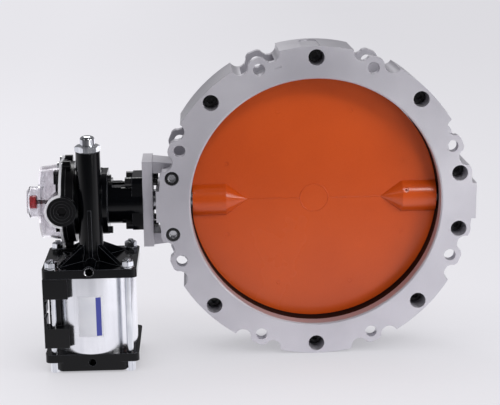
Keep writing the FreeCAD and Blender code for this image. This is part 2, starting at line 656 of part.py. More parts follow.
def half_shell(front):
    """One cast half of the body, split on the plane of the shaft."""
    start = "-half_depth" if front else 0
    face = "-half_depth" if front else "half_depth - ear_plate"
    inner = "-half_depth + ear_plate" if front else 0
    outline = [rod("outline_dia / 2", "half_depth", (0, start, 0), "+Y")]
    for angle in DRIVE_SCREWS + IDLE_SCREWS:
        outline.append(through("screw_boss_radius", "bolt_radius", angle, start, "half_depth"))
    outline.append(block(("drive_boss_reach", "half_depth", "2 * drive_boss_half"),
                         ("-drive_boss_reach", start, "-drive_boss_half")))
    outline.append(block(("idle_boss_reach", "half_depth", "2 * idle_boss_half"),
                         (0, start, "-idle_boss_half")))
    tools = []
    for angle in BOLT_ANGLES:
        for side in (-1, 1):
            tools.append(through("scallop_radius", "outline_dia / 2",
                                 f"{angle} + {side} * scallop_angle", start, "half_depth"))
        shoulder = radial_block("ear_trim_radius", "outline_dia / 2", start, "half_depth",
                                "outline_dia * sin(scallop_angle)", angle)
        nose = through("ear_nose_radius", "bolt_radius", angle, start, "half_depth")
        tools.append(cut(shoulder, nose))
        tools.append(radial_block("ear_pocket_floor", "outline_dia / 2", inner,
                                  "half_depth - ear_plate", "ear_pocket_width", angle))
    tools.append(radial_block("outline_dia / 2 - relief_depth", "2 * relief_depth",
                              "-relief_front" if front else 0,
                              "relief_front" if front else "relief_rear",
                              "relief_width", "relief_angle"))
    if not front:
        across, up = polar("outline_dia / 2 - relief_depth", "relief_angle")
        turn = Rotation(Vector(0, 1, 0), 90 - value("relief_angle"))
        tools.append(rod("relief_width / 2", "2 * relief_depth", (across, "relief_rear", up), turn))
    casting = cut(join(*outline), *tools)

    # pad plate and its two webs, added after the scallops so that they stay whole
    pad = [casting, block(("pad_thick", "pad_width / 2", "pad_height"),
                          ("-pad_face", "-pad_width / 2" if front else 0, "-pad_height / 2"))]
    for way in (1, -1):
        corners = [("-pad_face + pad_thick / 2", "web_bottom"),
                   ("-pad_face + pad_thick / 2", "pad_height / 2"),
                   ("-web_root", "pad_height / 2 - web_fall"),
                   ("-web_root", "web_bottom")]
        pad.append(prism("XZ", [(x, f"{way} * ({z})") for x, z in corners],
                         "web_width / 2", "-web_width / 2" if front else 0))
    casting = join(*pad)

    # everything that is machined
    holes = [rod("bore_dia / 2", "half_depth", (0, start, 0), "+Y"),
             rod("liner_outer_dia / 2", "liner_groove_half",
                 (0, "-liner_groove_half" if front else 0, 0), "+Y")]
    if front:
        holes.append(cone("bore_dia / 2 + bore_chamfer", "bore_dia / 2", "bore_chamfer",
                          (0, "-half_depth", 0), "+Y"))
    else:
        holes.append(cone("bore_dia / 2 + bore_chamfer", "bore_dia / 2", "bore_chamfer",
                          (0, "half_depth", 0), "-Y"))
    for angle in BOLT_ANGLES:
        holes.append(through("bolt_hole_dia / 2", "bolt_radius", angle, face, "ear_plate"))
    for angle in SEGMENT_SCREWS + DRIVE_SCREWS + IDLE_SCREWS:
        if front:
            sunk = "flush_depth" if angle in DRIVE_SCREWS else "counterbore_depth"
            bore = "flush_bore_dia" if angle in DRIVE_SCREWS else "counterbore_dia"
            holes.append(through("body_screw_dia / 2 + thread_gap", "bolt_radius", angle, start,
                                 "half_depth"))
            holes.append(through(f"{bore} / 2", "bolt_radius", angle, start, sunk))
        else:
            holes.append(through("body_screw_dia / 2 + thread_gap", "bolt_radius", angle, 0,
                                 "body_screw_grip + overrun"))
    # shaft line: drive side open to the pad plate, idle side blind
    holes.append(rod("shaft_dia / 2 + shaft_bore_gap", "pad_face - liner_inner_dia / 2 + 2 * overrun",
                     ("-pad_face - overrun", 0, 0), "+X"))
    holes.append(rod("bush_outer_radius", "shaft_bush_length + shaft_seal_width + overrun",
                     ("-liner_outer_dia / 2 - shaft_bush_length - shaft_seal_width", 0, 0), "+X"))
    holes.append(rod("bush_outer_radius", "idle_bore_end - liner_outer_dia / 2 + overrun",
                     ("liner_outer_dia / 2 - overrun", 0, 0), "+X"))
    for side in (-1, 1):
        if (side < 0) == front:
            for up in (-1, 1):
                holes.append(rod("pad_screw_dia / 2 + thread_gap", "pad_thick + 2 * overrun",
                                 ("-pad_face - overrun", f"{side} * pad_screw_width / 2",
                                  f"{up} * pad_screw_height / 2"), "+X"))
    if front:
        holes.append(radial_block("bolt_radius - slot_inset", "slot_tall", "-half_depth - overrun",
                                  "slot_depth + overrun", "slot_wide", "slot_angle"))
    return cut(casting, *holes)


piece("front_half_shell", half_shell(front=True))
piece("rear_half_shell", half_shell(front=False))


# ----------------------------------------------------------------- seat liner

land = "liner_land / 2"
rim = "bore_dia / 2"
liner = turned("seat_liner", [
    ("-liner_width / 2", rim), ("-liner_width / 2", "liner_outer_dia / 2 - liner_gap"),
    ("liner_width / 2", "liner_outer_dia / 2 - liner_gap"), ("liner_width / 2", rim),
    (f"{land} + liner_shoulder", rim), (land, "liner_inner_dia / 2"),
    (f"-{land}", "liner_inner_dia / 2"), (f"-{land} - liner_shoulder", rim)], (0, 0, 0), "+Y")
piece("seat_liner", cut(liner, rod("shaft_dia / 2 + seal_gap", "2 * liner_outer_dia",
                                   ("-liner_outer_dia", 0, 0), "+X")))


# ----------------------------------------------------------------------- disc

# plate with a ball-turned rim: the zone of a sphere between its two faces
plate = bind(doc.addObject("Part::Sphere", "Rim"), Radius="disc_radius",
             Angle1="-asin(disc_thick / 2 / disc_radius)",
             Angle2="asin(disc_thick / 2 / disc_radius)")
place(plate, (0, 0, 0), TOWARDS["+Y"])


def hub(side):
    """Round hub with a nose on each face of the disc, its tip in that face."""
    foot = bind(doc.addObject("Part::Circle", "NoseFoot"), Radius="hub_dia / 2")
    place(foot, (f"{side} * cone_start", 0, 0), TOWARDS["+X"])
    parts = [rod("hub_dia / 2", "hub_length", (f"{side} * cone_start", 0, 0), "+X" if side > 0 else "-X")]
    for face in (-1, 1):
        tip = doc.addObject("Part::Vertex", "NoseTip")
        place(tip, (f"{side} * cone_tip", f"{face} * disc_thick / 2", 0))
        nose = doc.addObject("Part::Loft", "Nose")
        nose.Sections = [foot, tip]
        nose.Solid = True
        nose.Ruled = True
        parts.append(nose)
    return parts


beads = [ring("disc_mark_dia / 2", "bead_width / 2", (0, "-disc_thick / 2", 0), "+Y")]
for side in (-1, 1):
    beads.append(rod("bead_width / 2", "cone_tip - disc_mark_dia / 2",
                     (f"{side} * disc_mark_dia / 2", "-disc_thick / 2", 0), "+X" if side > 0 else "-X"))
marks = [rod("shaft_dia / 2 + fit_gap", "stub_grip + 2 * hub_gap", ("stub_inner", 0, 0), "+X"),
         rod("shaft_dia / 2 + fit_gap", "stub_grip + 2 * hub_gap", ("-stub_inner", 0, 0), "-X")]
for angle in BOLT_ANGLES:
    marks.append(through("disc_dimple_dia / 2", "disc_dimple_radius", angle,
                         "-disc_thick / 2 - disc_dimple_depth", "2 * disc_dimple_depth"))


def aimed(side, thing):
    """Turn a feature that points to -Y to where the grub screw of that hub points."""
    angle = -value("grub_rise") if side > 0 else 180
    return place(together(thing), (0, 0, 0), Rotation(Vector(1, 0, 0), angle))


def grub_seat(side):
    """Threaded seat of a grub screw: front of the idle hub, rear of the drive hub."""
    return aimed(side, rod("grub_dia / 2 + fit_gap", "hub_dia",
                           (f"{side} * grub_reach", "-grub_tip", 0), "-Y"))


piece("disc", cut(join(plate, *hub(-1), *hub(1), *beads), *marks, grub_seat(-1), grub_seat(1)))

square_cut = cut(
    rod("shaft_dia", "coupling_length / 2 + overrun", ("coupling_right + overrun", 0, 0), "-X"),
    block(("coupling_length", "square_size", "square_size"),
          ("coupling_left + 2 * overrun", "-square_size / 2", "-square_size / 2")))
square_end = "(coupling_right - (coupling_length - coupling_joint_gap) / 2)"
drive_stub = rod("shaft_dia / 2", f"-stub_inner - {square_end}", (square_end, 0, 0), "+X")
piece("drive_stub_shaft", cut(drive_stub, square_cut, grub_seat(-1)))
idle_stub = rod("shaft_dia / 2", "idle_bore_end - end_play - stub_inner", ("stub_inner", 0, 0), "+X")
piece("idle_stub_shaft", cut(idle_stub, grub_seat(1)))
piece("disc_grub_screws", together(*[
    aimed(side, cut(
        rod("grub_dia / 2", "hub_dia / 2 - grub_sink - grub_tip",
            (f"{side} * grub_reach", "-grub_tip", 0), "-Y"),
        hexagon("grub_dia / 2", "grub_socket_depth + overrun",
                (f"{side} * grub_reach", "-hub_dia / 2 + grub_sink + grub_socket_depth", 0), "-Y")))
    for side in (-1, 1)]))

bush_start = "liner_outer_dia / 2 + shaft_seal_width"
for node, axis, sign in (("drive_shaft_bush", "-X", "-"), ("idle_shaft_bush", "+X", "")):
    piece(node, tube("bush_outer_radius - fit_gap", "shaft_dia / 2 + running_gap",
                     "shaft_bush_length - 2 * bush_play",
                     (f"{sign}({bush_start} + bush_play)", 0, 0), axis))
piece("shaft_seals", together(*[
    tube("bush_outer_radius - fit_gap", "shaft_dia / 2 + running_gap",
         "shaft_seal_width - 2 * bush_play", (f"{sign}(liner_outer_dia / 2 + bush_play)", 0, 0), axis)
    for axis, sign in (("-X", "-"), ("+X", ""))]))


# ------------------------------------------------------------------ fasteners

def cap_screw(diameter, head_dia, head_height, length, socket, at, axis):
    """Socket head screw whose head rests at a point, shank along the axis."""
    back = {"+X": "-X", "-X": "+X", "+Y": "-Y", "-Y": "+Y", "+Z": "-Z", "-Z": "+Z"}[axis]
    head = join(rod(f"({diameter}) / 2", length, at, axis),
                rod(f"({head_dia}) / 2", head_height, at, back))
    step = {"X": 0, "Y": 1, "Z": 2}[back[1]]
    top = list(at)
    top[step] = f"({at[step]}) {back[0]} ({head_height}) / 2"
    return cut(head, hexagon(socket, head_height, top, back))


def body_screw(angle, sunk):
    """Cap screw that clamps the shells, its head at the bottom of a counterbore."""
    across, up = polar("bolt_radius", angle)
    return cap_screw("body_screw_dia", "body_head_dia", "body_head_height",
                     f"half_depth - {sunk} + body_screw_grip", "body_socket_size",
                     (across, f"-half_depth + {sunk}", up), "+Y")


piece("body_screws", together(*[body_screw(angle, "counterbore_depth")
                                for angle in SEGMENT_SCREWS + IDLE_SCREWS]))
piece("flush_body_screws", together(*[body_screw(angle, "flush_depth") for angle in DRIVE_SCREWS]))


# --------------------------------------------------------------- neck bracket

neck_left = "-gear_case_right"
flange = rounded(block(("neck_pad_flange", "pad_width", "neck_flange_height"),
                       ("-pad_face - neck_pad_flange", "-pad_width / 2", "-neck_flange_height / 2")),
                 "head_corner", runs_along(Vector(1, 0, 0)))
neck = join(rod("neck_dia / 2", "neck_length", (neck_left, 0, 0), "+X"),
            rod("gear_case_dia / 2", "neck_head_flange", (neck_left, 0, 0), "+X"), flange)
window_start = "-(gear_case_right + pad_face) / 2 - neck_window / 2"
neck_tools = [
    rod("neck_bore / 2", "neck_length", (f"{neck_left} + neck_inner_wall", 0, 0), "+X"),
    rod("pinion_shaft_dia / 2 + running_gap + pinion_bush_wall", "neck_inner_wall + 2 * overrun",
        (f"{neck_left} - overrun", 0, 0), "+X"),
    block(("neck_window", "neck_dia", "neck_dia"), (window_start, "-neck_dia / 2", "neck_flat")),
    block(("neck_head_flange + 2 * overrun", "gear_case_dia", "gear_case_dia"),
          (f"{neck_left} - overrun", "-gear_case_dia / 2", "neck_head_top")),
    # hollow that lets the rack tube pass in front of the flange
    rod("tube_dia / 2 + head_gap", "gear_case_dia", ("act_x", "act_y", "-gear_case_dia / 2"))]
head_screw_places = [(f"head_screw_radius * cos({angle})", f"head_screw_radius * sin({angle})")
                     for angle in HEAD_SCREWS]
pad_screw_places = [(f"{y} * pad_screw_width / 2", f"{z} * pad_screw_height / 2")
                    for y in (-1, 1) for z in (-1, 1)]
for y, z in head_screw_places:
    neck_tools.append(rod("head_screw_dia / 2 + thread_gap", "neck_head_flange + 2 * overrun",
                          (f"{neck_left} - overrun", y, z), "+X"))
for y, z in pad_screw_places:
    neck_tools.append(rod("pad_screw_dia / 2 + thread_gap", "neck_pad_flange + 2 * overrun",
                          ("-pad_face - neck_pad_flange - overrun", y, z), "+X"))
    # spot face that keeps the neck tube clear of the screw heads
    neck_tools.append(rod("pad_screw_head / 2 + head_gap", "neck_pad_flange",
                          ("-pad_face - 2 * neck_pad_flange", y, z), "+X"))
piece("neck_bracket", cut(neck, *neck_tools))
piece("neck_flange_screws", together(*[
    cap_screw("head_screw_dia", "head_screw_head", "head_screw_dia",
              "neck_head_flange + head_screw_grip", "head_screw_socket",
              (f"{neck_left} + neck_head_flange", y, z), "-X") for y, z in head_screw_places]))
piece("neck_pad_screws", together(*[
    cap_screw("pad_screw_dia", "pad_screw_head", "pad_screw_dia",
              "neck_pad_flange + pad_screw_grip", "pad_screw_socket",
              ("-pad_face - neck_pad_flange", y, z), "+X") for y, z in pad_screw_places]))

coupling_screw_x = "coupling_left + coupling_length * 3 / 4"
piece("shaft_coupling", cut(
    rod("coupling_dia / 2", "coupling_length", ("coupling_left", 0, 0), "+X"),
    block(("coupling_length + 2 * overrun", "square_size + 2 * running_gap",
           "square_size + 2 * running_gap"),
          ("coupling_left - overrun", "-square_size / 2 - running_gap",
           "-square_size / 2 - running_gap")),
    rod("coupling_screw_dia / 2 + thread_gap", "coupling_dia", (coupling_screw_x, 0, 0))))
piece("coupling_screw", cut(
    rod("coupling_screw_dia / 2",
        "(coupling_dia - square_size) / 2 - 2 * running_gap - coupling_screw_sink",
        (coupling_screw_x, 0, "square_size / 2 + 2 * running_gap")),
    hexagon("coupling_screw_dia / 2", "coupling_screw_dia / 2",
            (coupling_screw_x, 0, "coupling_dia / 2 - coupling_screw_sink - coupling_screw_dia / 3"))))


# --------------------------------------------------------------- actuator head

head_parts = [
    round_plate("head_width", "head_depth", "head_thick", "head_bottom"),
    rod("tube_dia / 2", "tube_top - head_bottom", ("act_x", "act_y", "head_bottom")),
    cone("tube_dia / 2 + tube_flare", "tube_dia / 2", "tube_flare_height",
         ("act_x", "act_y", "head_top")),
    rod("gear_case_dia / 2", "gear_case_length", ("-gear_case_left", 0, 0), "+X"),
    rod("spigot_dia / 2", "spigot_length + overrun",
        ("act_x", "act_y", "head_bottom - spigot_length")),
    # boss that carries the air port
    rod("port_face_dia / 2", "head_depth / 2",
        ("act_x", "act_y - head_depth / 2", "head_top - port_above"), "+Y"),
    # rib down the front of the tube
    block(("tube_rib", "tube_dia / 2 + tube_rib_proud", "-head_top"),
          ("act_x - tube_rib / 2", "act_y - tube_dia / 2 - tube_rib_proud", "head_top"))]
# diagonal ribs from the tube to the tie rods
rib_outline = [("0", "head_top - overrun"), ("0", "head_top + rib_rise"),
               ("tube_dia / 2", "head_top + rib_rise"), ("rib_reach", "head_top + rib_tip"),
               ("rib_reach", "head_top - overrun")]
for quarter in range(4):
    rib = prism("XZ", rib_outline, "rib_thick", "-rib_thick / 2")
    head_parts.append(place(together(rib), ("act_x", "act_y", 0),
                            Rotation(Vector(0, 0, 1), 45 + 90 * quarter)))
rod_places = [(f"act_x + {x} * rod_spread_x / 2", f"act_y + {y} * rod_spread_y / 2")
              for y in (-1, 1) for x in (-1, 1)]
# lugs of the switch box that take the cover screws, the upper two first
lug_places = [(f"{side} * lug_radius * sin(lug_spread)", f"{up} * lug_radius * cos(lug_spread)")
              for up in (1, -1) for side in (-1, 1)]
groove_radius = "spigot_dia / 2 - oring_groove_depth"
seal_radius = f"{groove_radius} + oring_section / 2 + running_gap"
head_front = "act_y - head_depth / 2"
port_level = "head_top - port_above"


def seal_groove(bottom):
    """Tool for the groove of a barrel seal."""
    return tube("barrel_bore / 2 + overrun", groove_radius, "oring_groove_width",
                ("act_x", "act_y", bottom))


def air_port(level):
    """Tools for a port in the front of a head and the drilling behind it."""
    return [rod("port_dia / 2", "port_length", ("act_x", head_front, level), "+Y"),
            rod("air_way_dia / 2", "head_depth / 2 - air_way_reach",
                ("act_x", f"{head_front} + overrun", level), "+Y")]


head_tools = [
    # gear cavity, open to the neck; left journal; rack bore; stop thread
    rod("gear_cavity_dia / 2", "gear_case_length - gear_case_wall + overrun",
        ("-gear_case_left + gear_case_wall", 0, 0), "+X"),
    rod("spindle_journal_dia / 2 + running_gap + pinion_bush_wall", "gear_case_wall + 2 * overrun",
        ("-gear_case_left - overrun", 0, 0), "+X"),
    rod("rack_dia / 2 + rack_gap", "stop_thread_start - head_top", ("act_x", "act_y", "head_top")),
    rod("stop_dia / 2 + thread_gap", "tube_top - stop_thread_start + 2 * overrun",
        ("act_x", "act_y", "stop_thread_start - overrun")),
    rod("rod_bush_dia / 2", "head_thick + spigot_length + overrun",
        ("act_x", "act_y", "head_bottom - spigot_length - overrun")),
    seal_groove("head_bottom - oring_groove_width - oring_groove_inset"),
    # air port, its countersink, and the drilled way into the barrel
    *air_port(port_level),
    cone("port_dia / 2 + port_chamfer", "port_dia / 2", "port_chamfer",
         ("act_x", head_front, port_level), "+Y"),
    rod("air_way_dia / 2 - air_way_step", "head_thick + spigot_length - port_above + overrun",
        ("act_x", "act_y - air_way_reach", "head_bottom - spigot_length - overrun")),
    # seat of the pad that backs the rack
    rod("rack_pad_dia / 2 + running_gap", "tube_dia / 2 - rack_pad_cover + bush_play",
        ("act_x", "act_y", 0), "-Y")]
for x, y in rod_places:
    head_tools.append(rod("rod_dia / 2 + thread_gap", "head_thick + 2 * overrun",
                          (x, y, "head_bottom - overrun")))
    head_tools.append(rod("washer_dia / 2 + spot_gap", "rib_rise + overrun", (x, y, "head_top")))
# the ribs on the left clear the lower lugs of the switch box
for y, z in lug_places[2:]:
    head_tools.append(rod("lug_dia / 2 + head_gap", "cover_screw_grip + 2 * overrun + head_gap",
                          ("-box_split", y, z), "+X"))
for y, z in head_screw_places:
    head_tools.append(rod("head_screw_dia / 2 + thread_gap", "head_screw_grip + overrun",
                          (neck_left, y, z), "-X"))
    head_tools.append(rod("cover_screw_dia / 2 + thread_gap", "box_screw_grip + overrun",
                          ("-gear_case_left", y, z), "+X"))
piece("actuator_head", cut(join(*head_parts), *head_tools))


# ----------------------------------------------------------- rack and pinion

def involute_tooth_gap(module, teeth, angle, play, root):
    """Outline of the space between two pinion teeth, centred on +X."""
    pitch = module * teeth / 2
    base = pitch * math.cos(angle)
    gap_half = (math.pi / 2 + play / pitch * teeth / 2) / teeth
    tilt = math.tan(angle) - angle
    reach = pitch + 1.2 * module
    steps = 8
    flank = []
    for step in range(steps + 1):
        radius = base + (reach - base) * step / steps
        roll = math.acos(base / radius)
        swing = gap_half - tilt + (math.tan(roll) - roll)
        flank.append(Vector(radius * math.cos(swing), radius * math.sin(swing), 0))
    foot = flank[0]
    low = Vector(root * math.cos(gap_half - tilt), root * math.sin(gap_half - tilt), 0)
    left = [low] + ([foot] if foot.Length > root else []) + flank[1:]
    right = [Vector(p.x, -p.y, 0) for p in reversed(left)]
    return Part.makePolygon(left + right + [left[0]])


def pinion_shape():
    """Spur gear with involute flanks, a tooth space facing the rack."""
    module = value("pinion_module")
    teeth = int(value("pinion_teeth"))
    width = value("pinion_width")
    root = value("pitch_radius") - value("dedendum") * module
    blank = Part.makeCylinder(value("pitch_radius") + module, width)
    face = Part.Face(involute_tooth_gap(module, teeth, math.radians(value("pressure_angle")),
                                        value("backlash") / 2, root))
    over = value("overrun")
    space = face.extrude(Vector(0, 0, width + 2 * over))
    spaces = []
    for tooth in range(teeth):
        # the first space faces -Y, towards the rack
        copy = space.copy()
        turn = Rotation(Vector(0, 0, 1), -90 + 360 * tooth / teeth)
        copy.Placement = Placement(Vector(0, 0, -over), turn)
        spaces.append(copy)
    gear = blank.cut(spaces)
    bore = value("pinion_shaft_dia") / 2 + value("fit_gap")
    gear = gear.cut(Part.makeCylinder(bore, width))
    key = value("key_width")
    slot = Part.makeBox(key, bore + key / 2, width, Vector(-key / 2, 0, 0))
    gear = gear.cut(slot)
    # own axis to the shaft axis, keeping own Y on the row's Y
    gear.rotate(Vector(), Vector(0, 1, 0), 90)
    return gear


def worked_out(name, shape, at):
    """Object for a shape that no primitive gives, its position bound to the sheets."""
    thing = doc.addObject("Part::Feature", name)
    thing.Shape = shape
    for axis, text in zip("xyz", at):
        thing.setExpression(f"Placement.Base.{axis}", formula(text))
    return thing


piece("pinion", worked_out("Pinion", pinion_shape(), ("act_x - pinion_width / 2", 0, 0)))
key_left = "act_x - key_length / 2"
piece("pinion_key", block(("key_length", "key_width", "key_width - 2 * key_gap"),
                          (key_left, "key_low", "-key_width / 2 + key_gap")))
square_left = "(coupling_left + (coupling_length - coupling_joint_gap) / 2)"
shaft_parts = join(
    rod("spindle_journal_dia / 2", "gear_case_wall + overrun", ("-gear_case_left", 0, 0), "+X"),
    rod("pinion_shaft_dia / 2", "coupling_left + gear_case_left - gear_case_wall",
        ("-gear_case_left + gear_case_wall", 0, 0), "+X"),
    block((f"{square_left} - coupling_left + overrun", "square_size", "square_size"),
          ("coupling_left - overrun", "-square_size / 2", "-square_size / 2")))
piece("pinion_shaft", cut(
    shaft_parts,
    block(("key_length", "key_width", "key_width"), (key_left, "key_low", "-key_width / 2")),
    rod("spindle_dia / 2 + fit_gap", "spindle_grip + 2 * overrun",
        ("-gear_case_left - overrun", 0, 0), "+X")))
piece("pinion_bushes", together(
    tube("spindle_journal_dia / 2 + running_gap + pinion_bush_wall - fit_gap",
         "spindle_journal_dia / 2 + running_gap", "gear_case_wall - 2 * bush_play",
         ("-gear_case_left + bush_play", 0, 0), "+X"),
    tube("pinion_shaft_dia / 2 + running_gap + pinion_bush_wall - fit_gap",
         "pinion_shaft_dia / 2 + running_gap", "neck_inner_wall - 2 * bush_play",
         (f"{neck_left} + bush_play", 0, 0), "+X")))


def rack_teeth():
    """Spaces of the rack along Z, one tooth centred level with the shaft axis."""
    module = value("pinion_module")
    pitch = math.pi * module
    line = value("rack_pitch_line")
    slope = math.tan(math.radians(value("pressure_angle")))
    half = pitch / 4 + value("backlash") / 4
    deep = value("dedendum") * module
    high = value("rack_dia") / 2 - line + value("overrun")
    spaces = []
    for index in range(int(value("toothed_length") / pitch)):
        middle = pitch * (0.5 - index)
        low, tall = half - deep * slope, half + high * slope
        corners = [(line - deep, middle - low), (line + high, middle - tall),
                   (line + high, middle + tall), (line - deep, middle + low)]
        points = [Vector(-value("rack_dia"), y, z) for y, z in corners]
        face = Part.Face(Part.makePolygon(points + [points[0]]))
        spaces.append(face.extrude(Vector(2 * value("rack_dia"), 0, 0)))
    return Part.makeCompound(spaces)


teeth = worked_out("RackSpaces", rack_teeth(), ("act_x", "act_y", 0))
rack_blank = join(rod("rack_dia / 2", "rack_top - piston_top", ("act_x", "act_y", "piston_top")),
                  rod("piston_spigot_dia / 2", "piston_thick - end_play",
                      ("act_x", "act_y", "piston_bottom + end_play")))
piece("rack", cut(
    rack_blank,
    block(("2 * rack_dia", "rack_dia", "toothed_length"),
          ("act_x - rack_dia", "act_y + rack_pitch_line + pinion_module", "rack_top - toothed_length")),
    teeth))
piece("rack_pad", cut(
    rod("rack_pad_dia / 2", "(tube_dia - rack_dia) / 2 - rack_pad_cover",
        ("act_x", "act_y - rack_dia / 2", 0), "-Y"),
    rod("rack_dia / 2 + running_gap", "2 * rack_pad_dia", ("act_x", "act_y", "-rack_pad_dia"))))
seal_bottom = "head_bottom - spigot_length + rod_seal_inset"
piece("rod_seal", tube("rod_bush_dia / 2 - fit_gap", "rack_dia / 2 + running_gap",
                       "rod_seal_length", ("act_x", "act_y", seal_bottom)))
piece("rod_bush", tube("rod_bush_dia / 2 - fit_gap", "rack_dia / 2 + running_gap", "rod_bush_length",
                       ("act_x", "act_y", f"{seal_bottom} + rod_seal_length + bush_play")))


# ------------------------------------------------------------------- cylinder

piece("barrel", tube("barrel_dia / 2", "barrel_bore / 2", "barrel_length",
                     ("act_x", "act_y", "barrel_bottom")))
piece("barrel_seals", together(
    ring(seal_radius, "oring_section / 2",
         ("act_x", "act_y", "head_bottom - oring_groove_width / 2 - oring_groove_inset")),
    ring(seal_radius, "oring_section / 2",
         ("act_x", "act_y", "barrel_bottom + oring_groove_width / 2 + oring_groove_inset"))))

bottom_parts = [
    round_plate("head_width", "head_depth", "bottom_flange", "bottom_corner"),
    round_plate("bottom_block_width", "head_depth", "bottom_block + overrun", "bottom_of_block"),
    rod("spigot_dia / 2", "spigot_length + overrun", ("act_x", "act_y", "barrel_bottom - overrun"))]
bottom_port = "(barrel_bottom + bottom_of_block) / 2"
bottom_tools = [
    seal_groove("barrel_bottom + oring_groove_inset"),
    *air_port(bottom_port),
    rod("air_way_dia / 2 - air_way_step", f"barrel_bottom + spigot_length + overrun - {bottom_port}",
        ("act_x", "act_y - air_way_reach", bottom_port))]
for x, y in rod_places:
    bottom_tools.append(rod("rod_dia / 2 + thread_gap", "bottom_flange + 2 * overrun",
                            (x, y, "bottom_corner - overrun")))
    bottom_tools.append(rod("foot_dia / 2 + spot_gap", "bottom_block + foot_length",
                            (x, y, "bottom_corner"), "-Z"))
piece("bottom_head", cut(join(*bottom_parts), *bottom_tools))

rod_foot = "foot_level + foot_floor + end_play"
piece("tie_rods", together(*[
    rod("rod_dia / 2", f"head_top + rod_proud - ({rod_foot})", (x, y, rod_foot))
    for x, y in rod_places]))
piece("tie_rod_washers", together(*[
    tube("washer_dia / 2", "rod_dia / 2 + thread_gap", "washer_thick", (x, y, "head_top"))
    for x, y in rod_places]))
piece("tie_rod_nuts", together(*[
    cut(hexagon("nut_flats", "nut_height", (x, y, "head_top + washer_thick")),
        rod("rod_dia / 2 + thread_gap", "nut_height + 2 * overrun",
            (x, y, "head_top + washer_thick - overrun")))
    for x, y in rod_places]))
piece("foot_nuts", together(*[
    cut(rod("foot_dia / 2", "foot_length", (x, y, "foot_level")),
        rod("rod_dia / 2 + thread_gap", "foot_length", (x, y, "foot_level + foot_floor")))
    for x, y in rod_places]))

groove_inner = "barrel_bore / 2 - piston_gap - piston_groove_depth"
piston = turned("piston", [
    (0, 0), (0, "barrel_bore / 2 - piston_gap"),
    ("piston_thick", "barrel_bore / 2 - piston_gap"), ("piston_thick", 0)],
    ("act_x", "act_y", "piston_bottom"), "+Z")
seal_levels = ["piston_land", "piston_thick - piston_land - piston_groove_width"]
band_level = "piston_thick / 2 - piston_groove_width / 2"
band_inner = "barrel_bore / 2 - piston_band_depth"
piston_tools = [tube("barrel_bore / 2 + overrun", groove_inner, "piston_groove_width",
                     ("act_x", "act_y", f"piston_bottom + {level}")) for level in seal_levels]
piston_tools += [
    tube("barrel_bore / 2 + overrun", band_inner, "piston_groove_width",
         ("act_x", "act_y", f"piston_bottom + {band_level}")),
    rod("piston_spigot_dia / 2 + fit_gap", "piston_thick + 2 * overrun",
        ("act_x", "act_y", "piston_bottom - overrun")),
    rod("piston_pocket_dia / 2", "piston_pocket_depth", ("act_x", "act_y", "piston_bottom"))]
piece("piston", cut(piston, *piston_tools))
piece("piston_seals", together(*[
    tube("barrel_bore / 2 - running_gap", f"{groove_inner} + fit_gap",
         "piston_groove_width - 2 * bush_play",
         ("act_x", "act_y", f"piston_bottom + {level} + bush_play")) for level in seal_levels]))
piece("piston_wear_band", tube(
    "barrel_bore / 2 - running_gap", f"{band_inner} + fit_gap", "piston_groove_width - 2 * bush_play",
    ("act_x", "act_y", f"piston_bottom + {band_level} + bush_play")))
nut_bottom = "piston_bottom + piston_pocket_depth - piston_nut_height"
piece("piston_nut", cut(
    hexagon("piston_nut_flats", "piston_nut_height", ("act_x", "act_y", nut_bottom)),
    rod("piston_spigot_dia / 2 + fit_gap", "piston_nut_height + 2 * overrun",
        ("act_x", "act_y", f"{nut_bottom} - overrun"))))


# ---------------------------------------------------------------- stroke stop

dome = bind(doc.addObject("Part::Sphere", "Dome"), Radius="dome_radius")
place(dome, ("act_x", "act_y", "stop_top - dome_radius"))
piece("stop_screw", overlap(
    rod("stop_dia / 2", "stop_top - stop_tip", ("act_x", "act_y", "stop_tip")),
    join(dome, rod("stop_dia", "stop_top - dome_radius - stop_tip + overrun",
                   ("act_x", "act_y", "stop_tip - overrun")))))
piece("stop_jam_nut", cut(
    hexagon("jam_flats", "jam_height", ("act_x", "act_y", "tube_top")),
    rod("stop_dia / 2 + thread_gap", "jam_height + 2 * overrun",
        ("act_x", "act_y", "tube_top - overrun"))))


# ----------------------------------------------------------------- switch box

gland_front = ("-box_split", "-gland_boss_face", 0)
base_parts = [rod("box_dia / 2 - box_rim_proud", "box_height", ("-box_split", 0, 0), "+X"),
              rod("box_dia / 2", "box_rim", ("-box_split", 0, 0), "+X")]
base_tools = [rod("box_bore / 2", "box_height - box_floor", ("-box_split", 0, 0), "+X"),
              rod("spindle_dia / 2 + running_gap", "box_floor + 2 * overrun",
                  ("-box_inside - overrun", 0, 0), "+X")]
for y, z in head_screw_places:
    base_tools.append(rod("cover_screw_dia / 2 + thread_gap", "box_floor + 2 * overrun",
                          ("-box_inside - overrun", y, z), "+X"))
for y, z in lug_places:
    base_parts.append(rod("lug_dia / 2", "cover_screw_grip + 2 * overrun", ("-box_split", y, z), "+X"))
    base_tools.append(rod("cover_screw_dia / 2 + thread_gap", "cover_screw_grip + overrun",
                          ("-box_split", y, z), "+X"))
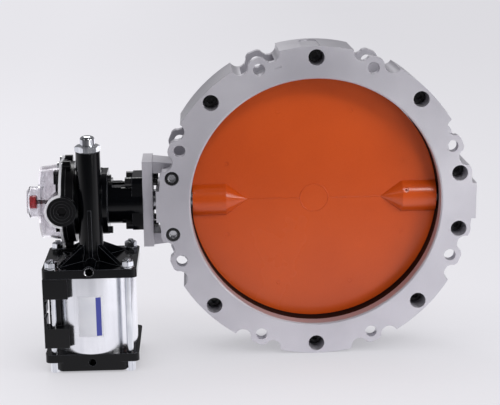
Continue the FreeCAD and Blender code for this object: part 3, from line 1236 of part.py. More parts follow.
# cable entry boss, cut away where it would meet the gear case and the rack tube
gland_boss = cut(rod("gland_boss_dia / 2", "gland_boss_length", gland_front, "+Y"),
                 rod("gear_case_dia / 2 + head_gap", "gland_boss_dia", ("-gear_case_left", 0, 0), "+X"),
                 rod("tube_dia / 2 + head_gap", "gland_boss_dia", ("act_x", "act_y", "-gland_boss_dia / 2")))
gland_tools = [rod("gland_bore / 2 + thread_gap", "gland_boss_length + overrun", gland_front, "+Y"),
               rod("gland_boss_dia / 2 - gland_face_rim", "gland_face_recess", gland_front, "+Y")]
piece("switch_box_base", cut(join(cut(join(*base_parts), *base_tools), gland_boss), *gland_tools))
plug_front = ("-box_split", "-gland_boss_face + gland_face_recess + bush_play", 0)
piece("cable_port_plug", cut(rod("gland_bore / 2", "plug_length", plug_front, "+Y"),
                             hexagon("plug_flats", "plug_socket_depth", plug_front, "+Y")))
piece("switch_box_screws", together(*[
    cap_screw("cover_screw_dia", "box_screw_head", "cover_screw_dia", "box_floor + box_screw_grip",
              "box_screw_socket", ("-box_inside", y, z), "+X") for y, z in head_screw_places]))

# clear cover: flange, drum, end face and bubble, wrapped round the cable boss
cover_in = "cover_dia / 2 - cover_wall"
end = "cover_end - box_split"
top = "bubble_end - box_split"
cover = turned("cover", [
    (0, cover_in), (0, "box_dia / 2"), ("cover_flange", "box_dia / 2"),
    ("cover_flange", "cover_dia / 2"),
    (end, "cover_dia / 2 - cover_taper"),
    (end, "bubble_dia / 2"),
    (f"{top} - bubble_bevel_height", "bubble_dia / 2"),
    (top, "bubble_dia / 2 - bubble_bevel"), (top, 0),
    (f"{top} - bubble_wall", 0),
    (f"{top} - bubble_wall", "bubble_dia / 2 - bubble_bevel - bubble_wall / 2"),
    (f"{top} - bubble_bevel_height - bubble_wall", "bubble_dia / 2 - bubble_wall"),
    (f"{end} - cover_wall", "bubble_dia / 2 - bubble_wall"),
    (f"{end} - cover_wall", f"{cover_in} - cover_taper")],
    ("-cover_foot", 0, 0), "-X")
wrap = overlap(
    rod("gland_wrap_radius + gland_wrap_wall",
        "gland_boss_length - gland_wrap_inset + gland_wrap_gap + gland_wrap_floor",
        ("-box_split", "-gland_boss_face + gland_wrap_inset", 0), "+Y"),
    block(("box_dia", "2 * box_dia", "box_dia"), ("-cover_foot - box_dia", "-box_dia", "-box_dia / 2")))
cover_parts = [cover, wrap]
cover_tools = [rod("gland_wrap_radius", "box_dia",
                   ("-box_split", "-gland_boss_back + gland_wrap_gap", 0), "-Y")]
gasket_tools = [rod("gland_wrap_radius", "box_dia", ("-box_split", 0, 0), "-Y")]
for y, z in lug_places:
    cover_parts.append(rod("lug_dia / 2", "cover_flange", ("-cover_foot", y, z), "-X"))
    cover_tools.append(rod("cover_screw_dia / 2 + thread_gap", "cover_flange + 2 * overrun",
                           ("-cover_foot + overrun", y, z), "-X"))
    cover_tools.append(rod("cover_screw_head / 2 + spot_gap", "cover_height",
                           ("-cover_foot - cover_flange", y, z), "-X"))
    gasket_tools.append(rod("cover_screw_dia / 2 + head_gap", "gasket_thick + 2 * overrun",
                            ("-cover_foot - overrun", y, z), "+X"))
piece("switch_cover", cut(join(*cover_parts), *cover_tools))
piece("cover_gasket", cut(
    tube("box_dia / 2 - gasket_inset", "box_bore / 2 + gasket_inset", "gasket_thick - 2 * gasket_nip",
         ("-cover_foot + gasket_nip", 0, 0), "+X"), *gasket_tools))
piece("cover_screws", together(*[
    cap_screw("cover_screw_dia", "cover_screw_head", "cover_screw_head_height",
              "cover_flange + gasket_thick + cover_screw_grip", "cover_screw_socket",
              ("-cover_foot - cover_flange", y, z), "+X") for y, z in lug_places]))

# indicator spindle, red indicator, cams
piece("indicator_spindle", rod("spindle_dia / 2", "spindle_end - gear_case_left + spindle_grip",
                               ("-spindle_end", 0, 0), "+X"))
knob_long = "knob_cap + knob_grip"
piece("indicator_knob", cut(
    turned("knob", [(0, 0), (0, "knob_dia / 2 - knob_chamfer"), ("knob_chamfer", "knob_dia / 2"),
                    (f"{knob_long} - knob_chamfer", "knob_dia / 2"),
                    (knob_long, "knob_dia / 2 - knob_chamfer"), (knob_long, 0)],
           ("-knob_end", 0, 0), "+X"),
    rod("spindle_dia / 2 + fit_gap", "knob_grip + overrun", ("-spindle_end", 0, 0), "+X")))
cam_starts = ["switch_far - cam_width - cam_inset", "switch_far - switch_width + cam_inset"]


def cam(start, lead):
    """Disc on the spindle with one flat that frees its micro switch."""
    drum = rod("cam_dia / 2", "cam_width", (f"-({start})", 0, 0), "-X")
    flat = block(("cam_width + 2 * overrun", "cam_dia", "cam_dia"),
                 (f"-({start}) - cam_width - overrun", "-cam_dia / 2", "cam_dia / 2 - cam_flat"))
    turned_flat = place(together(flat), (0, 0, 0), Rotation(Vector(1, 0, 0), lead))
    return cut(drum, turned_flat, rod("spindle_dia / 2 + fit_gap", "cam_width + 2 * overrun",
                                      (f"-({start}) + overrun", 0, 0), "-X"))


piece("switch_cams", together(cam(cam_starts[0], 0), cam(cam_starts[1], 90)))


def micro_switch(start, way):
    """Sealed micro switch, above or below the spindle, its plunger towards its cam."""
    low = "switch_bottom" if way > 0 else "-switch_bottom - switch_tall"
    case = block(("switch_width", "switch_long", "switch_tall"),
                 ("-switch_far", "switch_back - switch_long", low))
    plunger = rod("plunger_dia / 2", "switch_bottom - cam_dia / 2 - plunger_gap + overrun",
                  (f"-({start}) - cam_width / 2", 0, f"{way} * (cam_dia / 2 + plunger_gap)"),
                  "+Z" if way > 0 else "-Z")
    return join(case, plunger)


piece("micro_switches", together(micro_switch(cam_starts[0], 1), micro_switch(cam_starts[1], -1)))
bracket_high = "(switch_bottom + switch_tall - overrun)"
piece("switch_bracket", join(
    block(("switch_far - box_inside", "sheet_thick", f"2 * {bracket_high}"),
          ("-switch_far", "switch_back", f"-{bracket_high}")),
    block(("sheet_thick", "sheet_foot", f"2 * {bracket_high}"),
          ("-box_inside - sheet_thick", "switch_back", f"-{bracket_high}"))))
piece("terminal_block", block(("terminal_tall", "terminal_deep", "terminal_wide"),
                              ("-box_inside - terminal_tall", "terminal_back", "-terminal_wide / 2")))


# ------------------------------------------- bracket on the front left tie rod

clip_left = "act_x - head_width / 2 + clip_inset"
upper_clip = "clip_top - clip_height"
lower_clip = f"{upper_clip} - clip_pitch"
clips = [block(("clip_width", "clip_front - clip_back", "clip_height"), (clip_left, "-clip_front", level))
         for level in (upper_clip, lower_clip)]
clips.append(block(("clip_spine", "clip_front - clip_back", "clip_pitch"),
                   (clip_left, "-clip_front", f"{lower_clip} + overrun")))
clips.append(block(("clip_strip", "clip_strip_thick", "clip_pitch"),
                   (f"{clip_left} + clip_strip_left", "-clip_back - clip_strip_front",
                    f"{lower_clip} + overrun")))
front_left_rod = rod_places[0]
clip_tools = [
    rod("barrel_dia / 2 + fit_gap", "barrel_length", ("act_x", "act_y", "barrel_bottom")),
    rod("rod_dia / 2 + thread_gap", "barrel_length", (*front_left_rod, "barrel_bottom")),
    # notch and round cut in the spine
    block(("clip_notch_depth + overrun", "2 * (clip_front - clip_back)", "clip_notch"),
          (f"{clip_left} + clip_spine - clip_notch_depth", "-clip_front - overrun",
           f"{upper_clip} - clip_notch_drop")),
    rod("clip_hole_dia / 2", "2 * (clip_front - clip_back)",
        (f"{clip_left} + clip_spine", "-clip_front - overrun", f"{upper_clip} - clip_hole_drop"), "+Y")]
piece("valve_bracket", cut(join(*clips), *clip_tools))

# blank label wrapped on the barrel
label_ring = tube("barrel_dia / 2 + label_thick", "barrel_dia / 2 + fit_gap", "label_height",
                  ("act_x", "act_y", "label_top - label_height"))
piece("barrel_label", overlap(label_ring, block(
    ("label_width", "barrel_dia", "label_height"),
    ("act_x - label_width / 2", "act_y - barrel_dia", "label_top - label_height"))))


# --------------------------------------------------------- checks and export

doc.recompute()
for thing in doc.Objects:
    if "Invalid" in thing.State or "Error" in thing.State:
        raise RuntimeError(f"{thing.Name} failed: {thing.State}")
for node, thing in PIECES:
    if thing.Shape.isNull() or not thing.Shape.isValid() or not thing.Shape.Solids:
        raise RuntimeError(f"{node} has no valid solid")
    if thing.Label != node:
        raise RuntimeError(f"{node} is labelled {thing.Label}")
os.makedirs("parts", exist_ok=True)
for node, thing in PIECES:
    thing.Shape.exportStep(f"parts/{node}.step")
    print(f"{node}: {len(thing.Shape.Solids)} solids, {thing.Shape.Volume / 1000:.2f} cm3")
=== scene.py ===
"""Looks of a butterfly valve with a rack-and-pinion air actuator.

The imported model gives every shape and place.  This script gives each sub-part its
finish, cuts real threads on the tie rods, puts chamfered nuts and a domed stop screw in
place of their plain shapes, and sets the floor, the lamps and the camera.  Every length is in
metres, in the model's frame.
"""

from __future__ import annotations

import json
import logging
import math
from collections.abc import Iterable
from dataclasses import dataclass, field, replace
from enum import Enum

import bmesh
import bpy
from mathutils import Matrix, Vector

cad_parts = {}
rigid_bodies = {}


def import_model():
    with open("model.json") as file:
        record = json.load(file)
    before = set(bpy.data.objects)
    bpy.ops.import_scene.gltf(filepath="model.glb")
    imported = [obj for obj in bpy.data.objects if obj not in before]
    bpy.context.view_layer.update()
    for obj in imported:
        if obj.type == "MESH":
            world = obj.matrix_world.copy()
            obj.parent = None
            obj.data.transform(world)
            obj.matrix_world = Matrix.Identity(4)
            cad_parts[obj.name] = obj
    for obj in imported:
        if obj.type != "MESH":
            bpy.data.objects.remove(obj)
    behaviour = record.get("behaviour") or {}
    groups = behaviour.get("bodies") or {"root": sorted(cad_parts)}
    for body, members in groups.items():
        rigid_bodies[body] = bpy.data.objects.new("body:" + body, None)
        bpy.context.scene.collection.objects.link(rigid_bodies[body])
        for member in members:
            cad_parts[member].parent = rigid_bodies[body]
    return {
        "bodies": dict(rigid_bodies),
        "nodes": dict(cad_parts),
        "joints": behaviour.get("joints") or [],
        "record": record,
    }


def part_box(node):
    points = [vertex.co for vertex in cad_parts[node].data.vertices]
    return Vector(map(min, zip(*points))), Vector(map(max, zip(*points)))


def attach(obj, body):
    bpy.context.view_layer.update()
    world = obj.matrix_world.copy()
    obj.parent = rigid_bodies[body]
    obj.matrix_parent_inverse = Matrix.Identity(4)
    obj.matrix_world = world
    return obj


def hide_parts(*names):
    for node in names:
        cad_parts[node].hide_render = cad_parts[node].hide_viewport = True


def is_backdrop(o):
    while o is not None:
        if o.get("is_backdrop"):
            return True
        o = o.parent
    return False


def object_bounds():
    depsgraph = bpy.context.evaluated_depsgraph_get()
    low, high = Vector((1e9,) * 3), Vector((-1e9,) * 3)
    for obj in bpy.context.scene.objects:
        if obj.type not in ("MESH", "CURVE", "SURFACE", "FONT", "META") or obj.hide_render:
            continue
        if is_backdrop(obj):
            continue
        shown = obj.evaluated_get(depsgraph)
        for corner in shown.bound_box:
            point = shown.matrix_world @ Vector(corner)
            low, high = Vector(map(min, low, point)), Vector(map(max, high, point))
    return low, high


LOG = logging.getLogger("valve")
Colour = tuple[float, float, float]


def linear(red: int, green: int, blue: int) -> Colour:
    """Turn a display colour of 0 to 255 into the linear colour that shaders take.

    Args:
        red: Red on the display scale.
        green: Green on the display scale.
        blue: Blue on the display scale.

    Returns:
        The same colour in linear light.
    """

    def one(level: int) -> float:
        """One channel in linear light."""
        share = level / 255
        return share / 12.92 if share <= 0.04045 else ((share + 0.055) / 1.055) ** 2.4

    return one(red), one(green), one(blue)


def finished_mesh(name: str, made: bmesh.types.BMesh) -> bpy.types.Mesh:
    """Turn edited geometry into a mesh and free it.

    Args:
        name: Name of the mesh.
        made: The geometry.

    Returns:
        The mesh.
    """
    mesh = bpy.data.meshes.new(name)
    made.to_mesh(mesh)
    made.free()
    return mesh


def add_object(name: str, data: bpy.types.ID) -> bpy.types.Object:
    """Put a new object with this data in the scene.

    Args:
        name: Name of the object.
        data: Its mesh, lamp or camera data.

    Returns:
        The object.
    """
    thing = bpy.data.objects.new(name, data)
    bpy.context.scene.collection.objects.link(thing)
    return thing


# ------------------------------------------------------------------ node graphs


class Graph:
    """A node tree with short calls to add and join its nodes."""

    def __init__(self, tree: bpy.types.NodeTree) -> None:
        """Keep the tree that the calls work on."""
        self.tree = tree
        self.column = 0

    def add(self, kind: str, /, **settings: object) -> bpy.types.Node:
        """Add a node.

        Args:
            kind: Blender's name of the node type.
            settings: Properties of the node.

        Returns:
            The new node.
        """
        node = self.tree.nodes.new(kind)
        node.location = (self.column, 0)
        self.column += 180
        for name, content in settings.items():
            setattr(node, name, content)
        return node

    def feed(self, socket: bpy.types.NodeSocket, source: object) -> None:
        """Join a socket to a source, or set it when the source is a plain value."""
        if isinstance(source, bpy.types.NodeSocket):
            self.tree.links.new(source, socket)
        else:
            socket.default_value = source

    def math(self, operation: str, first: object, second: object = 0.0) -> bpy.types.NodeSocket:
        """Arithmetic on two sources.

        Args:
            operation: Blender's name of the operation.
            first: First source or number.
            second: Second source or number.

        Returns:
            The socket of the result.
        """
        node = self.add("ShaderNodeMath", operation=operation)
        self.feed(node.inputs[0], first)
        self.feed(node.inputs[1], second)
        return node.outputs[0]

    def place(self) -> bpy.types.NodeSocket:
        """Place of the shaded point in the object's own coordinates."""
        return self.add("ShaderNodeTexCoord").outputs["Object"]

    def axes(self, source: object) -> bpy.types.NodeOutputs:
        """The X, Y and Z of a vector, as sockets."""
        split = self.add("ShaderNodeSeparateXYZ")
        self.feed(split.inputs[0], source)
        return split.outputs

    def vector(self, operation: str, first: object, second: object) -> bpy.types.NodeOutputs:
        """Arithmetic on two vectors.

        Args:
            operation: Blender's name of the operation.
            first: First vector.
            second: Second vector.

        Returns:
            The outputs of the node.
        """
        node = self.add("ShaderNodeVectorMath", operation=operation)
        self.feed(node.inputs[0], first)
        self.feed(node.inputs[1], second)
        return node.outputs

    def noise(self, place: object, scale: object, detail: float) -> bpy.types.NodeSocket:
        """Noise at a place, as a value of 0 to 1."""
        node = self.add("ShaderNodeTexNoise")
        self.feed(node.inputs["Vector"], place)
        self.feed(node.inputs["Scale"], scale)
        node.inputs["Detail"].default_value = detail
        return node.outputs["Fac"]

    def span(self, source: object, low: float, high: float, start: float = 0.0,
             end: float = 1.0) -> bpy.types.NodeSocket:
        """Map a source from one span to another and clamp it.

        Args:
            source: The value to map.
            low: Value that becomes start.
            high: Value that becomes end.
            start: Result at low.
            end: Result at high.

        Returns:
            The socket of the mapped value.
        """
        node = self.add("ShaderNodeMapRange", clamp=True)
        for name, content in (("Value", source), ("From Min", low), ("From Max", high),
                              ("To Min", start), ("To Max", end)):
            self.feed(node.inputs[name], content)
        return node.outputs["Result"]

    def blend(self, share: object, first: object, second: object) -> bpy.types.NodeSocket:
        """Mix two colours by a share."""
        node = self.add("ShaderNodeMix", data_type="RGBA")
        self.feed(node.inputs["Factor"], share)
        for index, content in ((6, first), (7, second)):
            plain = not isinstance(content, bpy.types.NodeSocket)
            self.feed(node.inputs[index], (*content, 1.0) if plain else content)
        return node.outputs[2]

    def group(self, tree: bpy.types.NodeTree, **inputs: object) -> bpy.types.Node:
        """Place a node group and feed its inputs.

        Args:
            tree: The group.
            inputs: Source or value of each input, under its name with _ for a space.

        Returns:
            The group's node.
        """
        node = self.add("ShaderNodeGroup", node_tree=tree)
        for name, content in inputs.items():
            if isinstance(content, tuple) and len(content) == 3:
                content = (*content, 1.0)
            self.feed(node.inputs[name.replace("_", " ").title()], content)
        return node


def new_material(name: str) -> tuple[bpy.types.Material, Graph, bpy.types.Node]:
    """Start a material.

    Args:
        name: Name of the material.

    Returns:
        The material, its graph and its shader node.
    """
    material = bpy.data.materials.new(name)
    material.use_nodes = True
    return material, Graph(material.node_tree), material.node_tree.nodes["Principled BSDF"]


class Effects:
    """The shader groups that several finishes share.

    Attributes:
        cloud_share: Part of the cloudy noise in the tone of a cast surface.
        cloud_tones: Noise levels that give the darkest and the lightest tone there.
        line_share: Part of the stretched lines in the tone of a drawn surface.
        line_tones: Noise levels that give the darkest and the lightest tone there.
        mark_scale: Scale of the handling marks on a drawn surface.
        bevel_samples: Samples of a softened edge.
        edge_turns: How far the softened normal keeps to the flat one where the painted
        edge highlight starts and where it is full, as a cosine.
    """

    cloud_share = 0.75
    cloud_tones = (0.36, 0.66)
    line_share = 0.6
    line_tones = (0.38, 0.64)
    mark_scale = 35.0
    bevel_samples = 6
    edge_turns = (0.99, 0.86)

    def __init__(self) -> None:
        """Build each group once."""
        self.grain = self._grain()
        self.streaks = self._streaks()
        self.edges = self._edges()
        self.ring = self._ring()

    @staticmethod
    def _open(name: str, inputs: list[tuple[str, str, object]],
              outputs: list[tuple[str, str]]) -> tuple[Graph, bpy.types.Node, bpy.types.Node]:
        """Start a group with its sockets.

        Args:
            name: Name of the group.
            inputs: Name, socket kind and default of each input.
            outputs: Name and socket kind of each output.

        Returns:
            The graph, its input node and its output node.
        """
        tree = bpy.data.node_groups.new(name, "ShaderNodeTree")
        for label, kind, default in inputs:
            socket = tree.interface.new_socket(label, in_out="INPUT", socket_type=kind)
            if default is not None:
                socket.default_value = default
        for label, kind in outputs:
            tree.interface.new_socket(label, in_out="OUTPUT", socket_type=kind)
        graph = Graph(tree)
        return graph, graph.add("NodeGroupInput"), graph.add("NodeGroupOutput")

    def _grain(self) -> bpy.types.NodeTree:
        """Cloudy tone and fine grain of a cast or moulded surface."""
        graph, given, result = self._open(
            "SurfaceGrain",
            [("Light", "NodeSocketColor", (0.5, 0.5, 0.5, 1.0)),
             ("Dark", "NodeSocketColor", (0.3, 0.3, 0.3, 1.0)),
             ("Cloud", "NodeSocketFloat", 12.0), ("Fine", "NodeSocketFloat", 900.0),
             ("Rough", "NodeSocketFloat", 0.5), ("Rough Spread", "NodeSocketFloat", 0.1)],
            [("Color", "NodeSocketColor"), ("Roughness", "NodeSocketFloat"),
             ("Height", "NodeSocketFloat")])
        place = graph.place()
        cloud = graph.noise(place, given.outputs["Cloud"], 4.0)
        fine = graph.noise(place, given.outputs["Fine"], 2.0)
        return self._toned(graph, given, result, (cloud, fine), self.cloud_share,
                           self.cloud_tones, (cloud, fine))

    @staticmethod
    def _toned(graph: Graph, given: bpy.types.Node, result: bpy.types.Node,
               noises: tuple[bpy.types.NodeSocket, bpy.types.NodeSocket], share: float,
               tones: tuple[float, float],
               roles: tuple[bpy.types.NodeSocket, bpy.types.NodeSocket]) -> bpy.types.NodeTree:
        """Give a group its colour, roughness and height from two noises.

        Args:
            graph: The group's graph.
            given: Its input node.
            result: Its output node.
            noises: The two noises.
            share: Part of the first one in the tone.
            tones: Noise levels that give the darkest and the lightest tone.
            roles: The noise that shifts the roughness and the one that is the height.

        Returns:
            The group.
        """
        tone = graph.span(graph.math("ADD", graph.math("MULTIPLY", noises[0], share),
                                     graph.math("MULTIPLY", noises[1], 1 - share)), *tones)
        graph.feed(result.inputs["Color"],
                   graph.blend(tone, given.outputs["Dark"], given.outputs["Light"]))
        shift = graph.math("MULTIPLY", graph.math("SUBTRACT", roles[0], 0.5),
                           given.outputs["Rough Spread"])
        graph.feed(result.inputs["Roughness"], graph.math("ADD", given.outputs["Rough"], shift))
        graph.feed(result.inputs["Height"], roles[1])
        return graph.tree

    def _streaks(self) -> bpy.types.NodeTree:
        """Fine lines that a tool or a drawing die leaves, stretched along one axis."""
        graph, given, result = self._open(
            "ToolStreaks",
            [("Light", "NodeSocketColor", (0.8, 0.8, 0.8, 1.0)),
             ("Dark", "NodeSocketColor", (0.6, 0.6, 0.6, 1.0)),
             ("Stretch", "NodeSocketVector", (60.0, 60.0, 900.0)),
             ("Rough", "NodeSocketFloat", 0.25), ("Rough Spread", "NodeSocketFloat", 0.15)],
            [("Color", "NodeSocketColor"), ("Roughness", "NodeSocketFloat"),
             ("Height", "NodeSocketFloat")])
        place = graph.place()
        scaled = graph.vector("MULTIPLY", place, given.outputs["Stretch"])
        lines = graph.noise(scaled[0], 1.0, 3.0)
        marks = graph.noise(place, self.mark_scale, 4.0)
        return self._toned(graph, given, result, (lines, marks), self.line_share,
                           self.line_tones, (marks, lines))

    def _edges(self) -> bpy.types.NodeTree:
        """Rounded normal at sharp edges, and a mask of those edges for a painted highlight."""
        graph, given, result = self._open(
            "SoftEdges", [("Radius", "NodeSocketFloat", 0.0006)],
            [("Normal", "NodeSocketVector"), ("Edge", "NodeSocketFloat")])
        bevel = graph.add("ShaderNodeBevel", samples=self.bevel_samples)
        graph.feed(bevel.inputs["Radius"], given.outputs["Radius"])
        flat = graph.add("ShaderNodeNewGeometry").outputs["Normal"]
        turn = graph.vector("DOT_PRODUCT", bevel.outputs["Normal"], flat)
        graph.feed(result.inputs["Normal"], bevel.outputs["Normal"])
        graph.feed(result.inputs["Edge"], graph.span(turn["Value"], *self.edge_turns))
        return graph.tree

    def _ring(self) -> bpy.types.NodeTree:
        """Mask of what lies near a line along Y and in front of a depth."""
        graph, given, result = self._open(
            "NearBore", [("Bore", "NodeSocketVector", (0.0, 0.0, 0.0)),
                         ("Radius", "NodeSocketFloat", 0.005), ("Back", "NodeSocketFloat", 0.0)],
            [("Mask", "NodeSocketFloat")])
        away = graph.vector("SUBTRACT", graph.place(), given.outputs["Bore"])[0]
        across = graph.vector("MULTIPLY", away, (1.0, 0.0, 1.0))[0]
        reach = graph.add("ShaderNodeVectorMath", operation="LENGTH")
        graph.feed(reach.inputs[0], across)
        graph.feed(result.inputs["Mask"], graph.math(
            "MULTIPLY", graph.math("LESS_THAN", reach.outputs["Value"], given.outputs["Radius"]),
            graph.math("LESS_THAN", graph.axes(away)["Y"], given.outputs["Back"])))
        return graph.tree


# -------------------------------------------------------------------- finishes


class Surface(Enum):
    """How a finish is broken up over its surface."""

    GRAIN = "grain"
    STREAKS = "streaks"


@dataclass(frozen=True)
class BareRing:
    """Bare bright metal round a bore that runs along Y.

    Attributes:
        bore: Point on the axis of the bore.
        radius: Outer radius of the bare metal.
        back: How far it runs behind that point.
    """

    bore: tuple[float, float, float]
    radius: float
    back: float


@dataclass(frozen=True)
class Finish:
    """One finish: its colours, its gloss and the break-up of its surface.

    Attributes:
        slot: Material slot of the record.
        light: Lighter tone, linear.
        dark: Darker tone, linear.
        metallic: 0 for paint, plastic and rubber, 1 for bare metal.
        rough: Mean roughness.
        spread: How much the roughness varies.
        surface: Kind of break-up.
        fine: Scale of the fine grain.
        stretch: Scale of the streaks along each axis.
        cloud: Scale of the cloudy tone.
        bump: Depth of the grain or streaks in metres.
        coat: Clear coat weight.
        coat_rough: Roughness of the clear coat.
        shine: Strength of the mirror reflection of a surface that isn't metal.
        edge: Colour of the painted highlight on sharp edges, or None.
        radius: Radius of softened edges in metres.
        bare: Places where bare metal shows.
        bare_tone: Colour of that metal.
    """

    slot: str
    light: Colour
    dark: Colour
    metallic: float = 0.0
    rough: float = 0.5
    spread: float = 0.12
    surface: Surface = Surface.GRAIN
    fine: float = 900.0
    stretch: tuple[float, float, float] = (60.0, 60.0, 900.0)
    cloud: float = 12.0
    bump: float = 0.00004
    coat: float = 0.0
    coat_rough: float = 0.2
    shine: float = 0.5
    edge: Colour | None = None
    radius: float = 0.0006
    bare: tuple[BareRing, ...] = ()
    bare_tone: Colour = linear(214, 214, 218)

    def material(self, effects: Effects) -> bpy.types.Material:
        """Build the material.

        Args:
            effects: The shared shader groups.

        Returns:
            The material, named after its slot.
        """
        material, graph, shader = new_material(self.slot)
        if self.surface is Surface.GRAIN:
            look = graph.group(effects.grain, light=self.light, dark=self.dark,
                               cloud=self.cloud, fine=self.fine, rough=self.rough,
                               rough_spread=self.spread)
        else:
            look = graph.group(effects.streaks, light=self.light, dark=self.dark,
                               rough=self.rough, rough_spread=self.spread)
            look.inputs["Stretch"].default_value = self.stretch
        soft = graph.group(effects.edges, radius=self.radius)
        colour = look.outputs["Color"]
        # Painted highlight: the edge colour lightens sharp edges to stand for the light they
        # catch.
        if self.edge is not None:
            colour = graph.blend(soft.outputs["Edge"], colour, self.edge)
        masks = [graph.group(effects.ring, bore=Vector(ring.bore), radius=ring.radius,
                             back=ring.back).outputs["Mask"] for ring in self.bare]
        if masks:
            mask = masks[0]
            for more in masks[1:]:
                mask = graph.math("MAXIMUM", mask, more)
            colour = graph.blend(mask, colour, self.bare_tone)
            graph.feed(shader.inputs["Metallic"], graph.span(mask, 0.0, 1.0, self.metallic, 1.0))
        else:
            shader.inputs["Metallic"].default_value = self.metallic
        graph.feed(shader.inputs["Base Color"], colour)
        graph.feed(shader.inputs["Roughness"], look.outputs["Roughness"])
        bump = graph.add("ShaderNodeBump")
        bump.inputs["Distance"].default_value = self.bump
        graph.feed(bump.inputs["Height"], look.outputs["Height"])
        graph.feed(bump.inputs["Normal"], soft.outputs["Normal"])
        graph.feed(shader.inputs["Normal"], bump.outputs["Normal"])
        shader.inputs["Coat Weight"].default_value = self.coat
        shader.inputs["Coat Roughness"].default_value = self.coat_rough
        shader.inputs["Specular IOR Level"].default_value = self.shine
        return material


@dataclass(frozen=True)
class ClearFinish:
    """Clear moulded plastic, greyer in vertical streaks, with a painted highlight: a pale, less
    clear band at its flange and round the cable entry.

    Attributes:
        slot: Material slot of the record.
        light: Lighter tint of the plastic.
        dark: Darker tint of the plastic.
        pale_band: Colour of the painted highlight on the flange and on the rim about the cable
            entry.
        index: Index of refraction.
        rough: Mean roughness.
        spread: How much the roughness varies.
        stretch: Scale of the streaks along each axis.
        pale_band_clear: How clear the parts with that painted highlight still are.
        flange: Thickness of the flange.
        rim: Depth of the milky rim about the cable entry.
    """

    slot: str = "clear_plastic"
    light: Colour = (0.62, 0.62, 0.64)
    dark: Colour = (0.42, 0.40, 0.42)
    pale_band: Colour = linear(244, 244, 247)
    index: float = 1.2
    rough: float = 0.06
    spread: float = 0.08
    stretch: tuple[float, float, float] = (260.0, 260.0, 18.0)
    pale_band_clear: float = 0.12
    flange: float = 0.0034
    rim: float = 0.0040

    def material(self, effects: Effects, low: Vector, high: Vector) -> bpy.types.Material:
        """Build the clear material.

        Args:
            effects: The shared shader groups.
            low: Lowest corner of the cover.
            high: Highest corner of the cover.

        Returns:
            The material.
        """
        material, graph, shader = new_material(self.slot)
        look = graph.group(effects.streaks, light=self.light, dark=self.dark,
                           rough=self.rough, rough_spread=self.spread)
        look.inputs["Stretch"].default_value = self.stretch
        axes = graph.axes(graph.place())
        # Painted highlight: the flange and the rim round the cable entry turn pale and less clear,
        # standing for light in the plastic's thick edges.
        pale_band_mask = graph.math("MAXIMUM",
                           graph.math("GREATER_THAN", axes["X"], high.x - self.flange),
                           graph.math("LESS_THAN", axes["Y"], low.y + self.rim))
        graph.feed(shader.inputs["Base Color"],
                   graph.blend(pale_band_mask, look.outputs["Color"], self.pale_band))
        graph.feed(shader.inputs["Roughness"], look.outputs["Roughness"])
        graph.feed(shader.inputs["Transmission Weight"],
                   graph.span(pale_band_mask, 0.0, 1.0, 1.0, self.pale_band_clear))
        shader.inputs["IOR"].default_value = self.index
        return material


@dataclass(frozen=True)
class LabelFinish:
    """Blank white film with one coloured stripe down its right side.

    Attributes:
        slot: Material slot of the record.
        film: Lighter tone of the film.
        film_dark: Its darker tone.
        cloud: Scale of its cloudy tone.
        fine: Scale of its fine grain.
        rough: Mean roughness.
        spread: How much the roughness varies.
        stripe: Colour of the stripe.
        stripe_start: Left side of the stripe, as a share of the width.
        stripe_end: Right side of the stripe, as a share of the width.
        margin: Film above and below the stripe, as a share of the width.
    """

    slot: str = "label_film"
    film: Colour = linear(246, 247, 251)
    film_dark: Colour = linear(238, 240, 246)
    cloud: float = 60.0
    fine: float = 1500.0
    rough: float = 0.35
    spread: float = 0.1
    stripe: Colour = linear(70, 78, 168)
    stripe_start: float = 0.72
    stripe_end: float = 0.93
    margin: float = 0.04

    def material(self, effects: Effects, low: Vector, high: Vector) -> bpy.types.Material:
        """Build the label's material.

        Args:
            effects: The shared shader groups.
            low: Lowest corner of the label.
            high: Highest corner of the label.

        Returns:
            The material.
        """
        material, graph, shader = new_material(self.slot)
        axes = graph.axes(graph.place())
        across = graph.span(axes["X"], low.x, high.x)
        inside = graph.math("MULTIPLY",
                            graph.math("GREATER_THAN", across, self.stripe_start),
                            graph.math("LESS_THAN", across, self.stripe_end))
        margin = (high.x - low.x) * self.margin
        level = graph.math("MULTIPLY",
                           graph.math("GREATER_THAN", axes["Z"], low.z + margin),
                           graph.math("LESS_THAN", axes["Z"], high.z - margin))
        look = graph.group(effects.grain, light=self.film, dark=self.film_dark,
                           cloud=self.cloud, fine=self.fine, rough=self.rough,
                           rough_spread=self.spread)
        share = graph.math("MULTIPLY", inside, level)
        graph.feed(shader.inputs["Base Color"],
                   graph.blend(share, look.outputs["Color"], self.stripe))
        graph.feed(shader.inputs["Roughness"], look.outputs["Roughness"])
        return material


